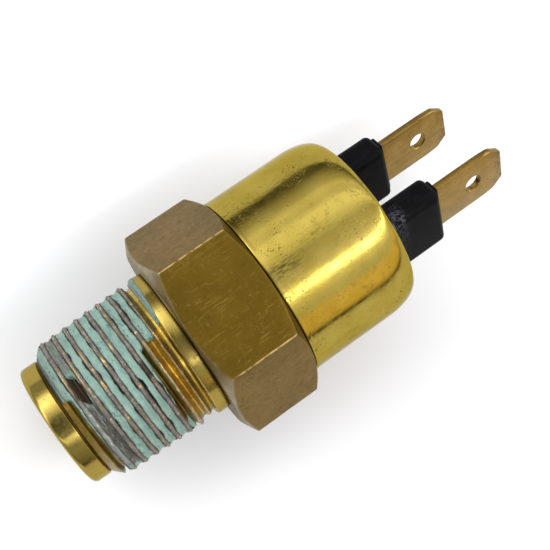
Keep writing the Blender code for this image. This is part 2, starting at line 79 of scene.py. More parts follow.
def noise(p, size, seed=0):
    """Smooth noise from -1 to 1 at points p in mm, with lumps of that size."""
    q = np.asarray(p, float) / np.asarray(size, float)
    i = np.floor(q).astype(np.int64)
    f = q - i
    f = f * f * (3.0 - 2.0 * f)
    out = 0.0
    for dx in (0, 1):
        wx = f[..., 0] if dx else 1.0 - f[..., 0]
        for dy in (0, 1):
            wy = f[..., 1] if dy else 1.0 - f[..., 1]
            for dz in (0, 1):
                wz = f[..., 2] if dz else 1.0 - f[..., 2]
                out = out + wx * wy * wz * _hash(
                    i[..., 0] + dx, i[..., 1] + dy, i[..., 2] + dz, seed)
    return 2.0 * out - 1.0


def fbm(p, size, seed=0, octaves=3):
    total, amp, norm = 0.0, 1.0, 0.0
    size = np.asarray(size, float)
    for k in range(octaves):
        total = total + amp * noise(p, size / (2.0 ** k), seed + 17 * k)
        norm += amp
        amp *= 0.5
    return total / norm


def smooth(a, b, x):
    t = np.clip((x - a) / (b - a), 0.0, 1.0)
    return t * t * (3.0 - 2.0 * t)


def band(x, a, b, s):
    """1 between a and b, falling to 0 over s on each side."""
    return smooth(a - s, a + s, x) * (1.0 - smooth(b - s, b + s, x))


# ------------------------------------------------------------------ meshes
def polar(x, r, t):
    """Points at height x, radius r and angle t (degrees from +Z to +Y)."""
    t = np.radians(t)
    x, r, t = np.broadcast_arrays(x, r, t)
    return np.stack([x, r * np.sin(t), r * np.cos(t)], -1)


class Shell:
    """A mesh built from rings of points."""

    def __init__(self):
        self.v, self.f, self.m, self.n = [], [], [], 0
        self.layers = {}

    def ring(self, points, **layers):
        points = np.asarray(points, float)
        ids = np.arange(self.n, self.n + len(points))
        self.v.append(points)
        for key in set(self.layers) | set(layers):
            value = layers.get(key, 0.0)
            have = self.layers.setdefault(key, [np.zeros(self.n)])
            have.append(np.broadcast_to(np.asarray(value, float),
                                        (len(points),)).copy())
        self.n += len(points)
        return ids

    def join(self, a, b, mat=0, closed=True):
        """Faces between two rings, a before b along the profile."""
        n = len(a)
        for i in range(n if closed else n - 1):
            j = (i + 1) % n
            self.face([a[i], a[j], b[j], b[i]], mat)

    def face(self, corners, mat=0):
        keep = []
        for c in corners:
            c = int(c)
            if c not in keep:
                keep.append(c)
        if len(keep) > 2:
            self.f.append(keep)
            self.m.append(mat)

    def cap(self, ids, mat=0, flip=False):
        ids = [int(i) for i in ids]
        self.f.append(ids[::-1] if flip else ids)
        self.m.append(mat)

    def build(self, name, mats, angle=35.0, weld=True):
        mesh = bpy.data.meshes.new(name)
        v = np.concatenate(self.v) * MM
        mesh.from_pydata(v.tolist(), [], self.f)
        mesh.polygons.foreach_set("material_index", np.array(self.m, np.int32))
        for key, parts in self.layers.items():
            data = np.concatenate(parts)
            data = np.concatenate([data, np.zeros(len(v) - len(data))])
            layer = mesh.attributes.new(key, 'FLOAT', 'POINT')
            layer.data.foreach_set("value", data.astype(np.float32))
        bm = bmesh.new()
        bm.from_mesh(mesh)
        loose = [q for q in bm.verts if not q.link_faces]
        bmesh.ops.delete(bm, geom=loose, context='VERTS')
        if weld:
            bmesh.ops.remove_doubles(bm, verts=bm.verts, dist=2e-7)
            bmesh.ops.dissolve_degenerate(bm, edges=bm.edges, dist=1e-8)
        bmesh.ops.recalc_face_normals(bm, faces=bm.faces)
        bm.to_mesh(mesh)
        bm.free()
        ob = link(name, mesh, mats)
        shade(ob, angle)
        return ob


def link(name, mesh, mats):
    ob = bpy.data.objects.new(name, mesh)
    bpy.context.scene.collection.objects.link(ob)
    for mat in mats:
        mesh.materials.append(mat)
    return ob


def shade(ob, angle=35.0):
    ob.data.shade_smooth()
    ob.data.set_sharp_from_angle(angle=math.radians(angle))


def rounded(points, radii, steps=5):
    """A line of (x, r) points with its corners rounded."""
    out = []
    n = len(points)
    for i, p in enumerate(points):
        rad = radii[i] if isinstance(radii, (list, tuple)) else radii
        if i in (0, n - 1) or rad <= 0.0:
            out.append(tuple(p))
            continue
        p = np.array(p, float)
        a = np.array(points[i - 1], float) - p
        b = np.array(points[i + 1], float) - p
        la, lb = np.hypot(*a), np.hypot(*b)
        a, b = a / la, b / lb
        half = 0.5 * math.acos(max(-1.0, min(1.0, float(a @ b))))
        cut = min(rad / math.tan(half), 0.48 * la, 0.48 * lb)
        r = cut * math.tan(half)
        mid = (a + b) / np.hypot(*(a + b))
        centre = p + mid * r / math.sin(half)
        s, e = p + a * cut - centre, p + b * cut - centre
        t0, t1 = math.atan2(s[1], s[0]), math.atan2(e[1], e[0])
        d = (t1 - t0 + math.pi) % TAU - math.pi
        for k in range(steps + 1):
            t = t0 + d * k / steps
            out.append((centre[0] + r * math.cos(t), centre[1] + r * math.sin(t)))
    return out


def spaced(points, step):
    """The same line with long stretches cut into pieces of about step."""
    out = [points[0]]
    for p, q in zip(points, points[1:]):
        n = max(1, int(math.ceil(math.hypot(q[0] - p[0], q[1] - p[1]) / step)))
        for k in range(1, n + 1):
            out.append((p[0] + (q[0] - p[0]) * k / n, p[1] + (q[1] - p[1]) * k / n))
    return out


def turned(name, profile, mats, seg=96, closed=False, angle=35.0, wobble=None,
           marks=None):
    """Turns an (x, r) profile about the axis.  Ends at r = 0 come to a point."""
    t = np.arange(seg) * 360.0 / seg
    sh = Shell()
    rings = []
    for x, r in profile:
        if r < 1e-6:
            ids = sh.ring(polar(np.full(1, x), 0.0, 0.0))
            rings.append(np.repeat(ids, seg))
        else:
            rr = np.full(seg, r)
            if wobble is not None:
                rr = rr + wobble(x, r, t)
            rings.append(sh.ring(polar(x, rr, t), **(marks(x, t) if marks else {})))
    for a, b in zip(rings, rings[1:]):
        sh.join(a, b)
    if closed:
        sh.join(rings[-1], rings[0])
    return sh.build(name, mats, angle)


AXIS = Matrix.Rotation(math.radians(90.0), 4, 'Y')
BLADES = {1: AXIS @ Matrix.Rotation(TERMINAL_ANGLE, 4, 'Z'),
          2: AXIS @ Matrix.Rotation(TERMINAL_ANGLE + math.pi, 4, 'Z')}


# ------------------------------------------------------------------ materials
class Nodes:
    """Short names for building a material's nodes."""

    def __init__(self, name):
        self.mat = bpy.data.materials.new(name)
        self.mat.use_nodes = True
        self.t = self.mat.node_tree
        self.t.nodes.clear()
        self.out = self.t.nodes.new("ShaderNodeOutputMaterial")
        self.bsdf = self.t.nodes.new("ShaderNodeBsdfPrincipled")
        self.t.links.new(self.bsdf.outputs[0], self.out.inputs[0])
        tex = self.t.nodes.new("ShaderNodeTexCoord")
        mul = self.t.nodes.new("ShaderNodeVectorMath")
        mul.operation = 'MULTIPLY'
        mul.inputs[1].default_value = (1000.0, 1000.0, 1000.0)
        self.t.links.new(tex.outputs["Object"], mul.inputs[0])
        self.mm = mul.outputs[0]        # position in mm

    def put(self, socket, value):
        if isinstance(value, bpy.types.NodeSocket):
            self.t.links.new(value, socket)
        elif value is not None:
            if socket.type == 'RGBA' and len(value) == 3:
                value = (*value, 1.0)
            socket.default_value = value

    def set(self, **kw):
        for key, value in kw.items():
            self.put(self.bsdf.inputs[key.replace("_", " ")], value)

    def math(self, op, a, b=None, c=None, clamp=False):
        n = self.t.nodes.new("ShaderNodeMath")
        n.operation, n.use_clamp = op, clamp
        self.put(n.inputs[0], a)
        if b is not None:
            self.put(n.inputs[1], b)
        if c is not None:
            self.put(n.inputs[2], c)
        return n.outputs[0]

    def scaled(self, by, turn=(0.0, 0.0, 0.0), vector=None):
        n = self.t.nodes.new("ShaderNodeMapping")
        n.inputs["Scale"].default_value = by
        n.inputs["Rotation"].default_value = turn
        self.t.links.new(vector or self.mm, n.inputs["Vector"])
        return n.outputs[0]

    def noise(self, scale, detail=3.0, rough=0.55, vector=None, distort=0.0):
        n = self.t.nodes.new("ShaderNodeTexNoise")
        n.inputs["Scale"].default_value = scale
        n.inputs["Detail"].default_value = detail
        n.inputs["Roughness"].default_value = rough
        n.inputs["Distortion"].default_value = distort
        self.t.links.new(vector or self.mm, n.inputs["Vector"])
        return n.outputs["Fac"]

    def voronoi(self, scale, vector=None, feature='F1'):
        n = self.t.nodes.new("ShaderNodeTexVoronoi")
        n.feature = feature
        n.inputs["Scale"].default_value = scale
        self.t.links.new(vector or self.mm, n.inputs["Vector"])
        return n.outputs["Distance"]

    def step(self, value, a, b, lo=0.0, hi=1.0):
        n = self.t.nodes.new("ShaderNodeMapRange")
        n.interpolation_type = 'SMOOTHSTEP'
        self.put(n.inputs["Value"], value)
        n.inputs["From Min"].default_value = a
        n.inputs["From Max"].default_value = b
        n.inputs["To Min"].default_value = lo
        n.inputs["To Max"].default_value = hi
        return n.outputs["Result"]

    def near(self, value, at, width):
        """1 where value is at, 0 further away than width."""
        d = self.math('ABSOLUTE', self.math('SUBTRACT', value, at))
        return self.step(d, 0.0, width, 1.0, 0.0)

    def mix(self, fac, a, b):
        n = self.t.nodes.new("ShaderNodeMix")
        n.data_type = 'RGBA'
        self.put(n.inputs["Factor"], fac)
        self.put(n.inputs[6], a)
        self.put(n.inputs[7], b)
        return n.outputs[2]

    def attr(self, name):
        n = self.t.nodes.new("ShaderNodeAttribute")
        n.attribute_name = name
        return n.outputs["Fac"]

    def bump(self, height, distance, strength=1.0, normal=None):
        n = self.t.nodes.new("ShaderNodeBump")
        n.inputs["Distance"].default_value = distance * MM
        n.inputs["Strength"].default_value = strength
        self.put(n.inputs["Height"], height)
        if normal is not None:
            self.put(n.inputs["Normal"], normal)
        return n.outputs[0]

    def axes(self):
        n = self.t.nodes.new("ShaderNodeSeparateXYZ")
        self.t.links.new(self.mm, n.inputs[0])
        return n.outputs


def scratch_lines(m, scale, turn, width, keep=0.62):
    """Fine lines along one direction, each only here and there."""
    v = m.scaled(scale, turn)
    line = m.near(m.noise(1.0, 1.0, 0.5, v), 0.5, width)
    here = m.step(m.noise(0.55, 2.0, 0.5, m.scaled((1, 1, 1), turn)),
                  keep - 0.05, keep + 0.05)
    return m.math('MULTIPLY', line, here)


def brass_hexagon():
    m = Nodes("brass_hexagon")
    broad = m.noise(0.16, 3.0, 0.6)
    fine = m.noise(1.6, 4.0, 0.65)
    grain = m.noise(5.5, 3.0, 0.6)
    # mill marks along the axis on the drawn flats
    mill = m.noise(1.0, 3.0, 0.6, m.scaled((0.35, 7.0, 7.0)))
    col = m.mix(m.step(broad, 0.35, 0.68), (0.122, 0.075, 0.0085),
                (0.158, 0.096, 0.0130))
    col = m.mix(m.step(fine, 0.50, 0.78, 0.0, 0.55), col, (0.088, 0.050, 0.0065))
    col = m.mix(m.step(grain, 0.62, 0.75, 0.0, 0.35), col, (0.22, 0.145, 0.035))
    spots = m.math('MULTIPLY', m.step(m.noise(2.8, 2.0), 0.66, 0.72),
                   m.step(m.noise(0.4, 2.0), 0.52, 0.62))
    col = m.mix(m.math('MULTIPLY', spots, 0.75), col, (0.05, 0.033, 0.012))
    lines = None
    for scale, turn, w, keep in (
            ((0.10, 2.6, 2.6), (0.0, 0.0, 0.55), 0.010, 0.52),
            ((0.12, 2.1, 2.1), (0.0, 0.0, -0.85), 0.009, 0.54),
            ((2.4, 0.14, 2.4), (0.35, 0.0, 0.25), 0.009, 0.55),
            ((1.7, 0.30, 1.2), (0.2, 0.6, -0.5), 0.012, 0.56)):
        one = scratch_lines(m, scale, turn, w, keep)
        lines = one if lines is None else m.math('MAXIMUM', lines, one)
    col = m.mix(m.math('MULTIPLY', lines, 0.30), col, (0.34, 0.24, 0.09))
    # worn edges, brightened further as a painted highlight; dull haze on the thread side
    edge = m.attr("edge")
    worn_edge_highlight = m.math('MULTIPLY', edge, m.step(m.noise(1.1, 3.0), 0.40, 0.58, 0.12, 1.0))
    col = m.mix(m.math('MULTIPLY', worn_edge_highlight, 0.75), col, (0.62, 0.46, 0.22))
    # a dull film on the thread side, made stronger on the upper and lower sides as a painted sheen
    haze = m.math('MULTIPLY', m.attr("haze"),
                  m.step(m.noise(0.8, 3.0), 0.30, 0.65, 0.55, 1.0))
    col = m.mix(haze, col, (0.300, 0.262, 0.172))
    # painted shade on part of the seat face next to the collar
    col = m.mix(m.attr("shade"), col, (0.030, 0.018, 0.006))
    rough = m.step(fine, 0.30, 0.75, 0.36, 0.50)
    rough = m.math('SUBTRACT', rough, m.math('MULTIPLY', worn_edge_highlight, 0.14))
    rough = m.math('ADD', rough, m.math('MULTIPLY', haze, 0.20))
    metal = m.math('SUBTRACT', 1.0, m.math('MULTIPLY', haze, 0.55))
    height = m.math('ADD', m.math('MULTIPLY', mill, 0.35),
                    m.math('MULTIPLY', grain, 0.40))
    height = m.math('SUBTRACT', height, m.math('MULTIPLY', lines, 0.5))
    height = m.math('SUBTRACT', height, m.math('MULTIPLY', spots, 1.2))
    m.set(Base_Color=col, Roughness=rough, Metallic=metal,
          Normal=m.bump(height, 0.012, 0.8), Specular_Tint=(1.0, 0.96, 0.92))
    return m.mat


def brass_turned():
    """Nose, lead-in, relief and collar: bright turned brass."""
    m = Nodes("brass_turned")
    x = m.axes()[0]
    broad = m.noise(0.35, 3.0, 0.6)
    col = m.mix(m.step(broad, 0.35, 0.7), (0.300, 0.222, 0.048),
                (0.345, 0.258, 0.066))
    dull = m.attr("dull")
    stain = m.math('MULTIPLY', dull, m.step(m.noise(0.9, 4.0), 0.30, 0.60, 0.6, 1.0))
    col = m.mix(stain, col, (0.185, 0.108, 0.012))
    dirt = m.math('MULTIPLY', m.step(m.noise(3.2, 3.0), 0.62, 0.72),
                  m.step(m.noise(0.7, 2.0), 0.48, 0.66))
    col = m.mix(m.math('MULTIPLY', dirt, 0.8), col, (0.055, 0.038, 0.016))
    # painted shade in the bore, the neck groove and the corner under the hexagon, and painted dark
    # reflection bands on the collar
    deep = m.attr("deep")
    col = m.mix(deep, col, (0.035, 0.022, 0.010))
    # bright edges: wear, brightened further as a painted highlight
    edge = m.attr("edge")
    col = m.mix(m.math('MULTIPLY', edge, m.step(m.noise(1.3, 3.0), 0.35, 0.6, 0.2, 0.8)),
                col, (0.62, 0.48, 0.22))
    rings = m.noise(1.0, 2.0, 0.6, m.scaled((16.0, 0.08, 0.08)))
    fine = m.noise(2.4, 3.0)
    rough = m.step(fine, 0.3, 0.75, 0.13, 0.25)
    rough = m.math('ADD', rough, m.math('MULTIPLY', stain, 0.10))
    rough = m.math('ADD', rough, m.math('MULTIPLY', deep, 0.35))
    rough = m.math('ADD', rough, m.math('MULTIPLY', dirt, 0.25))
    height = m.math('ADD', m.math('MULTIPLY', rings, 0.6),
                    m.math('MULTIPLY', m.noise(0.9, 2.0), 0.8))
    m.set(Base_Color=col, Roughness=rough, Metallic=1.0,
          Normal=m.bump(height, 0.006, 0.7), Specular_Tint=(0.80, 0.74, 0.52))
    return m.mat


def brass_thread():
    """Crests scraped and greyed by sealant, flanks dirty and darkened as painted shade, scraped
    stretches brightened as painted glints.
    """
    m = Nodes("brass_thread")
    crest = m.attr("crest")
    bare = m.attr("bare")
    smear = m.attr("smear")
    dark = m.attr("dark")
    n1 = m.noise(1.5, 4.0, 0.65)
    n2 = m.noise(5.0, 3.0, 0.6)
    # streaks that run round the crest
    streak = m.noise(1.0, 3.0, 0.6, m.scaled((9.0, 0.9, 0.9)))
    grey = m.mix(m.step(n1, 0.40, 0.60), (0.098, 0.088, 0.082), (0.185, 0.158, 0.138))
    grey = m.mix(m.step(streak, 0.52, 0.62, 0.0, 0.75), grey, (0.25, 0.218, 0.190))
    grey = m.mix(m.step(n2, 0.50, 0.60, 0.0, 0.85), grey, (0.060, 0.040, 0.026))
    warmth = m.math('MULTIPLY', m.step(m.noise(0.6, 3.0, 0.6), 0.47, 0.60), 0.7)
    grey = m.mix(warmth, grey, (0.150, 0.105, 0.062))
    # painted glints on scraped crest stretches
    glint = m.math('MULTIPLY', m.step(m.noise(0.75, 3.0, 0.7), 0.56, 0.64),
                   m.step(streak, 0.40, 0.55))
    glint = m.math('MAXIMUM', glint, m.attr("glint"))
    glint = m.math('MULTIPLY', glint, m.step(crest, 0.70, 0.90))
    # flanks: dirt, darkened near black as painted shade in the gaps beside the sealant
    flank_dirt_and_shade = m.mix(m.step(n1, 0.4, 0.62), (0.008, 0.0065, 0.005), (0.030, 0.021, 0.014))
    covered = m.mix(m.step(crest, 0.70, 0.86), flank_dirt_and_shade, grey)
    gold = m.mix(m.step(n1, 0.35, 0.65), (0.370, 0.240, 0.034), (0.520, 0.360, 0.074))
    gold = m.mix(m.step(crest, 0.80, 0.97, 0.0, 0.8), gold, (0.230, 0.180, 0.125))
    col = m.mix(bare, covered, gold)
    sm = m.mix(m.step(streak, 0.40, 0.62), (0.125, 0.140, 0.130), (0.235, 0.262, 0.240))
    col = m.mix(m.math('MULTIPLY', smear, m.step(n1, 0.25, 0.5, 0.7, 1.0)), col, sm)
    col = m.mix(dark, col, (0.030, 0.016, 0.0045))
    col = m.mix(m.math('MULTIPLY', glint, m.math('SUBTRACT', 1.0, dark)),
                col, (0.60, 0.45, 0.20))
    metal = m.math('MAXIMUM', glint, m.math('MULTIPLY', bare, 0.92))
    metal = m.math('MULTIPLY', metal, m.math('SUBTRACT', 1.0, smear), None, True)
    rough = m.math('SUBTRACT', m.step(n2, 0.3, 0.7, 0.50, 0.68),
                   m.math('MULTIPLY', metal, 0.25))
    height = m.math('ADD', m.math('MULTIPLY', streak, 0.7), m.math('MULTIPLY', n2, 0.5))
    m.set(Base_Color=col, Roughness=rough, Metallic=metal,
          Normal=m.bump(height, 0.035, 0.9))
    return m.mat


def sealant():
    m = Nodes("thread_sealant_dried")
    n1 = m.noise(0.55, 4.0, 0.6)
    n2 = m.noise(2.6, 4.0, 0.62)
    n3 = m.noise(9.0, 3.0, 0.6)
    col = m.mix(m.step(n1, 0.36, 0.64), (0.184, 0.300, 0.252), (0.236, 0.362, 0.306))
    col = m.mix(m.step(n2, 0.50, 0.74, 0.0, 0.50), col, (0.146, 0.240, 0.205))
    col = m.mix(m.step(n3, 0.60, 0.72, 0.0, 0.40), col, (0.26, 0.375, 0.325))
    greyer = m.attr("grey")
    drag = m.noise(1.0, 4.0, 0.65, m.scaled((7.0, 1.1, 1.1), (0.0, 0.0, 0.10)))
    gcol = m.mix(m.step(drag, 0.38, 0.50), (0.052, 0.047, 0.033), (0.098, 0.099, 0.078))
    gcol = m.mix(m.step(drag, 0.52, 0.62), gcol, (0.190, 0.200, 0.172))
    col = m.mix(m.math('MULTIPLY', greyer, m.step(n1, 0.25, 0.45, 0.75, 1.0)), col, gcol)
    rubbed = m.math('MULTIPLY', m.step(drag, 0.56, 0.66),
                    m.step(m.noise(0.45, 2.0), 0.50, 0.62))
    col = m.mix(m.math('MULTIPLY', rubbed, 0.55), col, (0.215, 0.222, 0.205))
    line = m.near(m.noise(1.0, 3.0, 0.6, m.scaled((1.5, 0.45, 0.45), (0.0, 0.0, 0.15))),
                  0.5, 0.014)
    crack = m.math('MULTIPLY', line, m.step(m.noise(0.42, 2.0, 0.5), 0.50, 0.56))
    col = m.mix(m.math('MULTIPLY', crack, 0.9), col, (0.012, 0.013, 0.011))
    # painted shade along its torn edges, in the gap beside the crest
    rim = m.attr("rim")
    col = m.mix(m.math('MULTIPLY', rim, m.step(n3, 0.30, 0.60, 0.45, 1.0)),
                col, (0.040, 0.050, 0.044))
    height = m.math('ADD', m.math('MULTIPLY', n2, 0.8), m.math('MULTIPLY', n3, 0.45))
    height = m.math('SUBTRACT', height, m.math('MULTIPLY', crack, 0.8))
    m.set(Base_Color=col, Roughness=m.step(n2, 0.3, 0.7, 0.52, 0.72),
          Metallic=0.0, Normal=m.bump(height, 0.05, 0.8))
    m.bsdf.inputs["Specular IOR Level"].default_value = 0.35
    return m.mat


def brass_cap():
    m = Nodes("brass_cap_drawn")
    broad = m.noise(0.22, 3.0, 0.55)
    col = m.mix(m.step(broad, 0.35, 0.68), (0.318, 0.236, 0.040), (0.372, 0.282, 0.058))
    # pits gather in patches
    patch = m.step(m.noise(0.30, 3.0, 0.6), 0.50, 0.66)
    patch = m.math('MAXIMUM', patch, m.attr("speckle"))
    pits = m.step(m.noise(3.4, 2.5, 0.6), 0.600, 0.665)
    small = m.step(m.noise(8.0, 2.0, 0.6), 0.63, 0.70)
    pits = m.math('MULTIPLY', m.math('MAXIMUM', pits, small), patch)
    rare = m.math('MULTIPLY', m.step(m.noise(2.1, 2.0, 0.5), 0.70, 0.74), 0.8)
    pits = m.math('MAXIMUM', pits, rare)
    tarnish = m.math('MULTIPLY', m.step(m.noise(1.1, 4.0, 0.65), 0.50, 0.70),
                     m.step(m.noise(0.19, 2.0, 0.5), 0.42, 0.62))
    col = m.mix(m.math('MULTIPLY', tarnish, 0.38), col, (0.155, 0.105, 0.026))
    col = m.mix(m.math('MULTIPLY', pits, 0.72), col, (0.060, 0.042, 0.014))
    # painted dark reflections: streaks along the cap and darker patches at its front
    smudge = m.math('MULTIPLY', m.attr("smudge"),
                    m.step(m.noise(1.0, 4.0, 0.7, m.scaled((0.9, 3.4, 3.4))),
                           0.42, 0.60))
    col = m.mix(m.math('MULTIPLY', smudge, 0.80), col, (0.070, 0.050, 0.018))
    # drawing lines along the axis
    draw = m.noise(1.0, 3.0, 0.6, m.scaled((0.10, 3.2, 3.2)))
    rough = m.step(m.noise(0.8, 3.0), 0.35, 0.70, 0.115, 0.19)
    rough = m.math('ADD', rough, m.math('MULTIPLY', tarnish, 0.10))
    rough = m.math('ADD', rough, m.math('MULTIPLY', pits, 0.25))
    height = m.math('ADD', m.math('MULTIPLY', draw, 0.45),
                    m.math('MULTIPLY', m.noise(2.2, 3.0), 0.45))
    height = m.math('SUBTRACT', height, m.math('MULTIPLY', pits, 1.2))
    m.set(Base_Color=col, Roughness=rough, Metallic=1.0,
          Normal=m.bump(height, 0.010, 0.8), Specular_Tint=(0.80, 0.74, 0.50))
    return m.mat


def brass_blade(name="brass_blade", along=(0.12, 5.0, 5.0)):
    m = Nodes(name)
    roll = m.noise(1.0, 3.0, 0.6, m.scaled(along))
    n1 = m.noise(0.5, 3.0, 0.6)
    n2 = m.noise(2.5, 4.0, 0.6)
    col = m.mix(m.step(n1, 0.35, 0.65), (0.232, 0.143, 0.032), (0.290, 0.182, 0.046))
    col = m.mix(m.step(roll, 0.52, 0.66, 0.0, 0.40), col, (0.350, 0.240, 0.075))
    stain = m.math('MULTIPLY', m.step(n2, 0.54, 0.66), m.step(n1, 0.50, 0.62))
    col = m.mix(m.math('MULTIPLY', stain, 0.55), col, (0.11, 0.056, 0.012))
    tip = m.math('MULTIPLY', m.step(m.axes()[0], 38.2, 39.9),
                 m.step(n2, 0.40, 0.62, 0.25, 1.0))
    col = m.mix(m.math('MULTIPLY', tip, 0.70), col, (0.095, 0.052, 0.012))
    height = m.math('ADD', m.math('MULTIPLY', roll, 0.6), m.math('MULTIPLY', n2, 0.4))
    m.set(Base_Color=col, Roughness=m.step(n2, 0.3, 0.7, 0.27, 0.38), Metallic=1.0,
          Normal=m.bump(height, 0.008, 0.8))
    return m.mat


def black_plastic():
    m = Nodes("plastic_black_moulded")
    n1 = m.noise(1.2, 4.0, 0.6)
    n2 = m.noise(11.0, 3.0, 0.6)
    col = m.mix(m.step(n1, 0.4, 0.7), (0.0028, 0.0028, 0.0032), (0.0050, 0.0050, 0.0060))
    # rubbed patches
    scuff = m.math('MULTIPLY', m.attr("scuff"),
                   m.step(m.noise(2.2, 4.0, 0.7, None, 1.2), 0.44, 0.56))
    col = m.mix(m.math('MULTIPLY', scuff, 0.85), col, (0.115, 0.120, 0.150))
    rough = m.step(n2, 0.3, 0.7, 0.40, 0.52)
    rough = m.math('ADD', rough, m.math('MULTIPLY', scuff, 0.2))
    height = m.math('ADD', m.math('MULTIPLY', n2, 0.5), m.math('MULTIPLY', n1, 0.4))
    m.set(Base_Color=col, Roughness=rough, Metallic=0.0,
          Normal=m.bump(height, 0.018, 0.7))
    m.bsdf.inputs["Specular IOR Level"].default_value = 0.04
    return m.mat


def plain(name, dark, light, rough, metal, scale=1.5, bump=0.01, stretch=(1, 1, 1),
          spec=0.5):
    m = Nodes(name)
    v = m.scaled(stretch)
    n1 = m.noise(scale, 4.0, 0.6, v)
    n2 = m.noise(scale * 5.0, 3.0, 0.6, v)
    col = m.mix(m.step(n1, 0.35, 0.65), dark, light)
    height = m.math('ADD', m.math('MULTIPLY', n1, 0.6), m.math('MULTIPLY', n2, 0.4))
    m.set(Base_Color=col, Roughness=m.step(n2, 0.3, 0.7, rough[0], rough[1]),
          Metallic=metal, Normal=m.bump(height, bump, 0.8))
    m.bsdf.inputs["Specular IOR Level"].default_value = spec
    return m.mat


M_HEX = brass_hexagon()
M_TURNED = brass_turned()
M_THREAD = brass_thread()
M_SEALANT = sealant()
M_CAP = brass_cap()
M_BLADE = brass_blade()
M_SCREW = brass_blade("brass_screw", (6.0, 0.4, 0.4))
M_BLACK = black_plastic()
M_POTTING = plain("potting_grey", (0.19, 0.19, 0.20), (0.26, 0.26, 0.27),
                  (0.45, 0.62), 0.0, 0.9, 0.05)
M_STEEL = plain("steel_turned", (0.42, 0.43, 0.44), (0.58, 0.59, 0.60),
                (0.22, 0.36), 1.0, 1.2, 0.008, (6.0, 0.5, 0.5))
M_SPRING = plain("spring_steel", (0.30, 0.31, 0.33), (0.44, 0.45, 0.47),
                 (0.20, 0.34), 1.0, 3.0, 0.006)
M_SILVER = plain("silver_contact", (0.70, 0.69, 0.66), (0.86, 0.85, 0.82),
                 (0.18, 0.30), 1.0, 2.0, 0.006)
M_RUBBER = plain("rubber_black", (0.014, 0.014, 0.014), (0.024, 0.024, 0.025),
                 (0.55, 0.72), 0.0, 3.0, 0.02)
M_FILM = plain("polyimide_film", (0.42, 0.20, 0.035), (0.56, 0.29, 0.06),
               (0.24, 0.36), 0.0, 0.8, 0.01)
M_NYLON = plain("nylon_natural", (0.58, 0.56, 0.49), (0.68, 0.66, 0.60),
                (0.38, 0.52), 0.0, 1.4, 0.012)


# ------------------------------------------------------------------ body
# angles of the body's rings: every 1.76 degrees, closer at the hexagon's
# corners.  The flats face 0, 60, 120 ... degrees, the corners lie between.
_offsets = [k * 60.0 / 34.0 for k in range(34)]
_near = [-1.1, -0.75, -0.5, -0.28, 0.0, 0.28, 0.5, 0.75, 1.1]
ANG = sorted(set(round((30.0 + 60.0 * c + o) % 360.0, 4)
                 for c in range(6) for o in
                 [v for v in _offsets if v > 1.3 and v < 58.7] + _near))
ANG = np.array(ANG)
N_ANG = len(ANG)


def taper_at(x):
    return (x - THREAD_MID) * TAPER * 0.5


def crest_distance(x, t):
    """Distance along the axis from the nearest crest line, in mm."""
    turn = (180.0 - t) / 360.0
    g = (x - THREAD_Z0) / PITCH - turn
    return (g - np.round(g)) * PITCH


def thread_height(d):
    """Height above the root at axial distance d from the crest line."""
    d = np.abs(d)
    half = 0.5 * CREST_W
    run = 0.5 * (PITCH - ROOT_W) - half
    h = THREAD_DEPTH * (1.0 - (d - half) / run)
    k = 0.035
    top = -k * np.log(np.exp(-np.clip(h, -5, 5) / k) + math.exp(-THREAD_DEPTH / k))
    low = k * np.log(np.exp(top / k) + 1.0)
    return low - k * math.log(2.0) * np.exp(-((d - PITCH / 2) / 0.3) ** 2)


def thread_radius(x, t, wear=True):
    """Radius of the brass thread at axial place x and angle t."""
    d = crest_distance(x, t)
    if wear:                                # crests pushed over a little
        d = d + 0.035 * noise(polar(x * 0.0 + np.round((x - THREAD_Z0) / PITCH) * 2.7,
                                    8.5, t), 0.8, 13)
    h = thread_height(d)
    if wear:
        p = polar(x, 8.5, t)
        nick = np.clip(noise(p, (0.4, 0.55, 0.55), 5) - 0.38, 0.0, 1.0)
        soft = 0.030 * fbm(p, (0.5, 1.2, 1.2), 9)
        h = h - smooth(0.55, 0.95, h) * (0.22 * nick + 0.02) + smooth(0.5, 0.9, h) * soft
    r = CREST_R - THREAD_DEPTH + h + taper_at(x)
    cone = THREAD_LO_R + (x - THREAD_LO) * 1.02
    k = 0.03
    out = smooth(THREAD_HI - THREAD_RUNOUT, THREAD_HI, x)
    r = r + (RELIEF_R + 0.06 - r) * out
    return -k * np.log(np.exp(-(r - 8) / k) + np.exp(-(cone - 8) / k)) + 8


def bare_zone(x, t):
    """Where the thread carries no sealant: its last turn below the middle,
    and the lead-in below the middle."""
    p = polar(x, 8.5, t)
    rag = 2.2 * noise(p, (0.45, 0.5, 0.5), 31) + 1.6 * noise(p, 0.2, 32)
    front = wrap(t)
    last = smooth(-4.66, -4.58, x + 0.10 * noise(p, (0.3, 0.8, 0.8), 33)
                  + 0.0032 * np.clip(-front, 0, 60)) * \
        smooth(-1.0, 1.0, 11.5 + rag - front) * \
        smooth(-6.0, 6.0, front + 66.0 + 34.0 * smooth(-4.3, -3.9, x))
    first = (1.0 - smooth(-12.98, -12.86, x + 0.06 * noise(p, (0.4, 0.6, 0.6), 35)
                          - 0.0042 * np.clip(10.0 - front, 0, 90))) * \
        smooth(-1.0, 1.0, 10.0 + rag - front) * smooth(-150.0, -140.0, front)
    return np.clip(last + first, 0.0, 1.0)


def wrap(t):
    return (np.asarray(t, float) + 180.0) % 360.0 - 180.0


def streak_zone(x, t):
    """The second groove's smeared stretch at the front."""
    f = wrap(t)
    return band(x, -12.62, -11.02, 0.10) * band(f, -75.0, -2.0, 4.0)


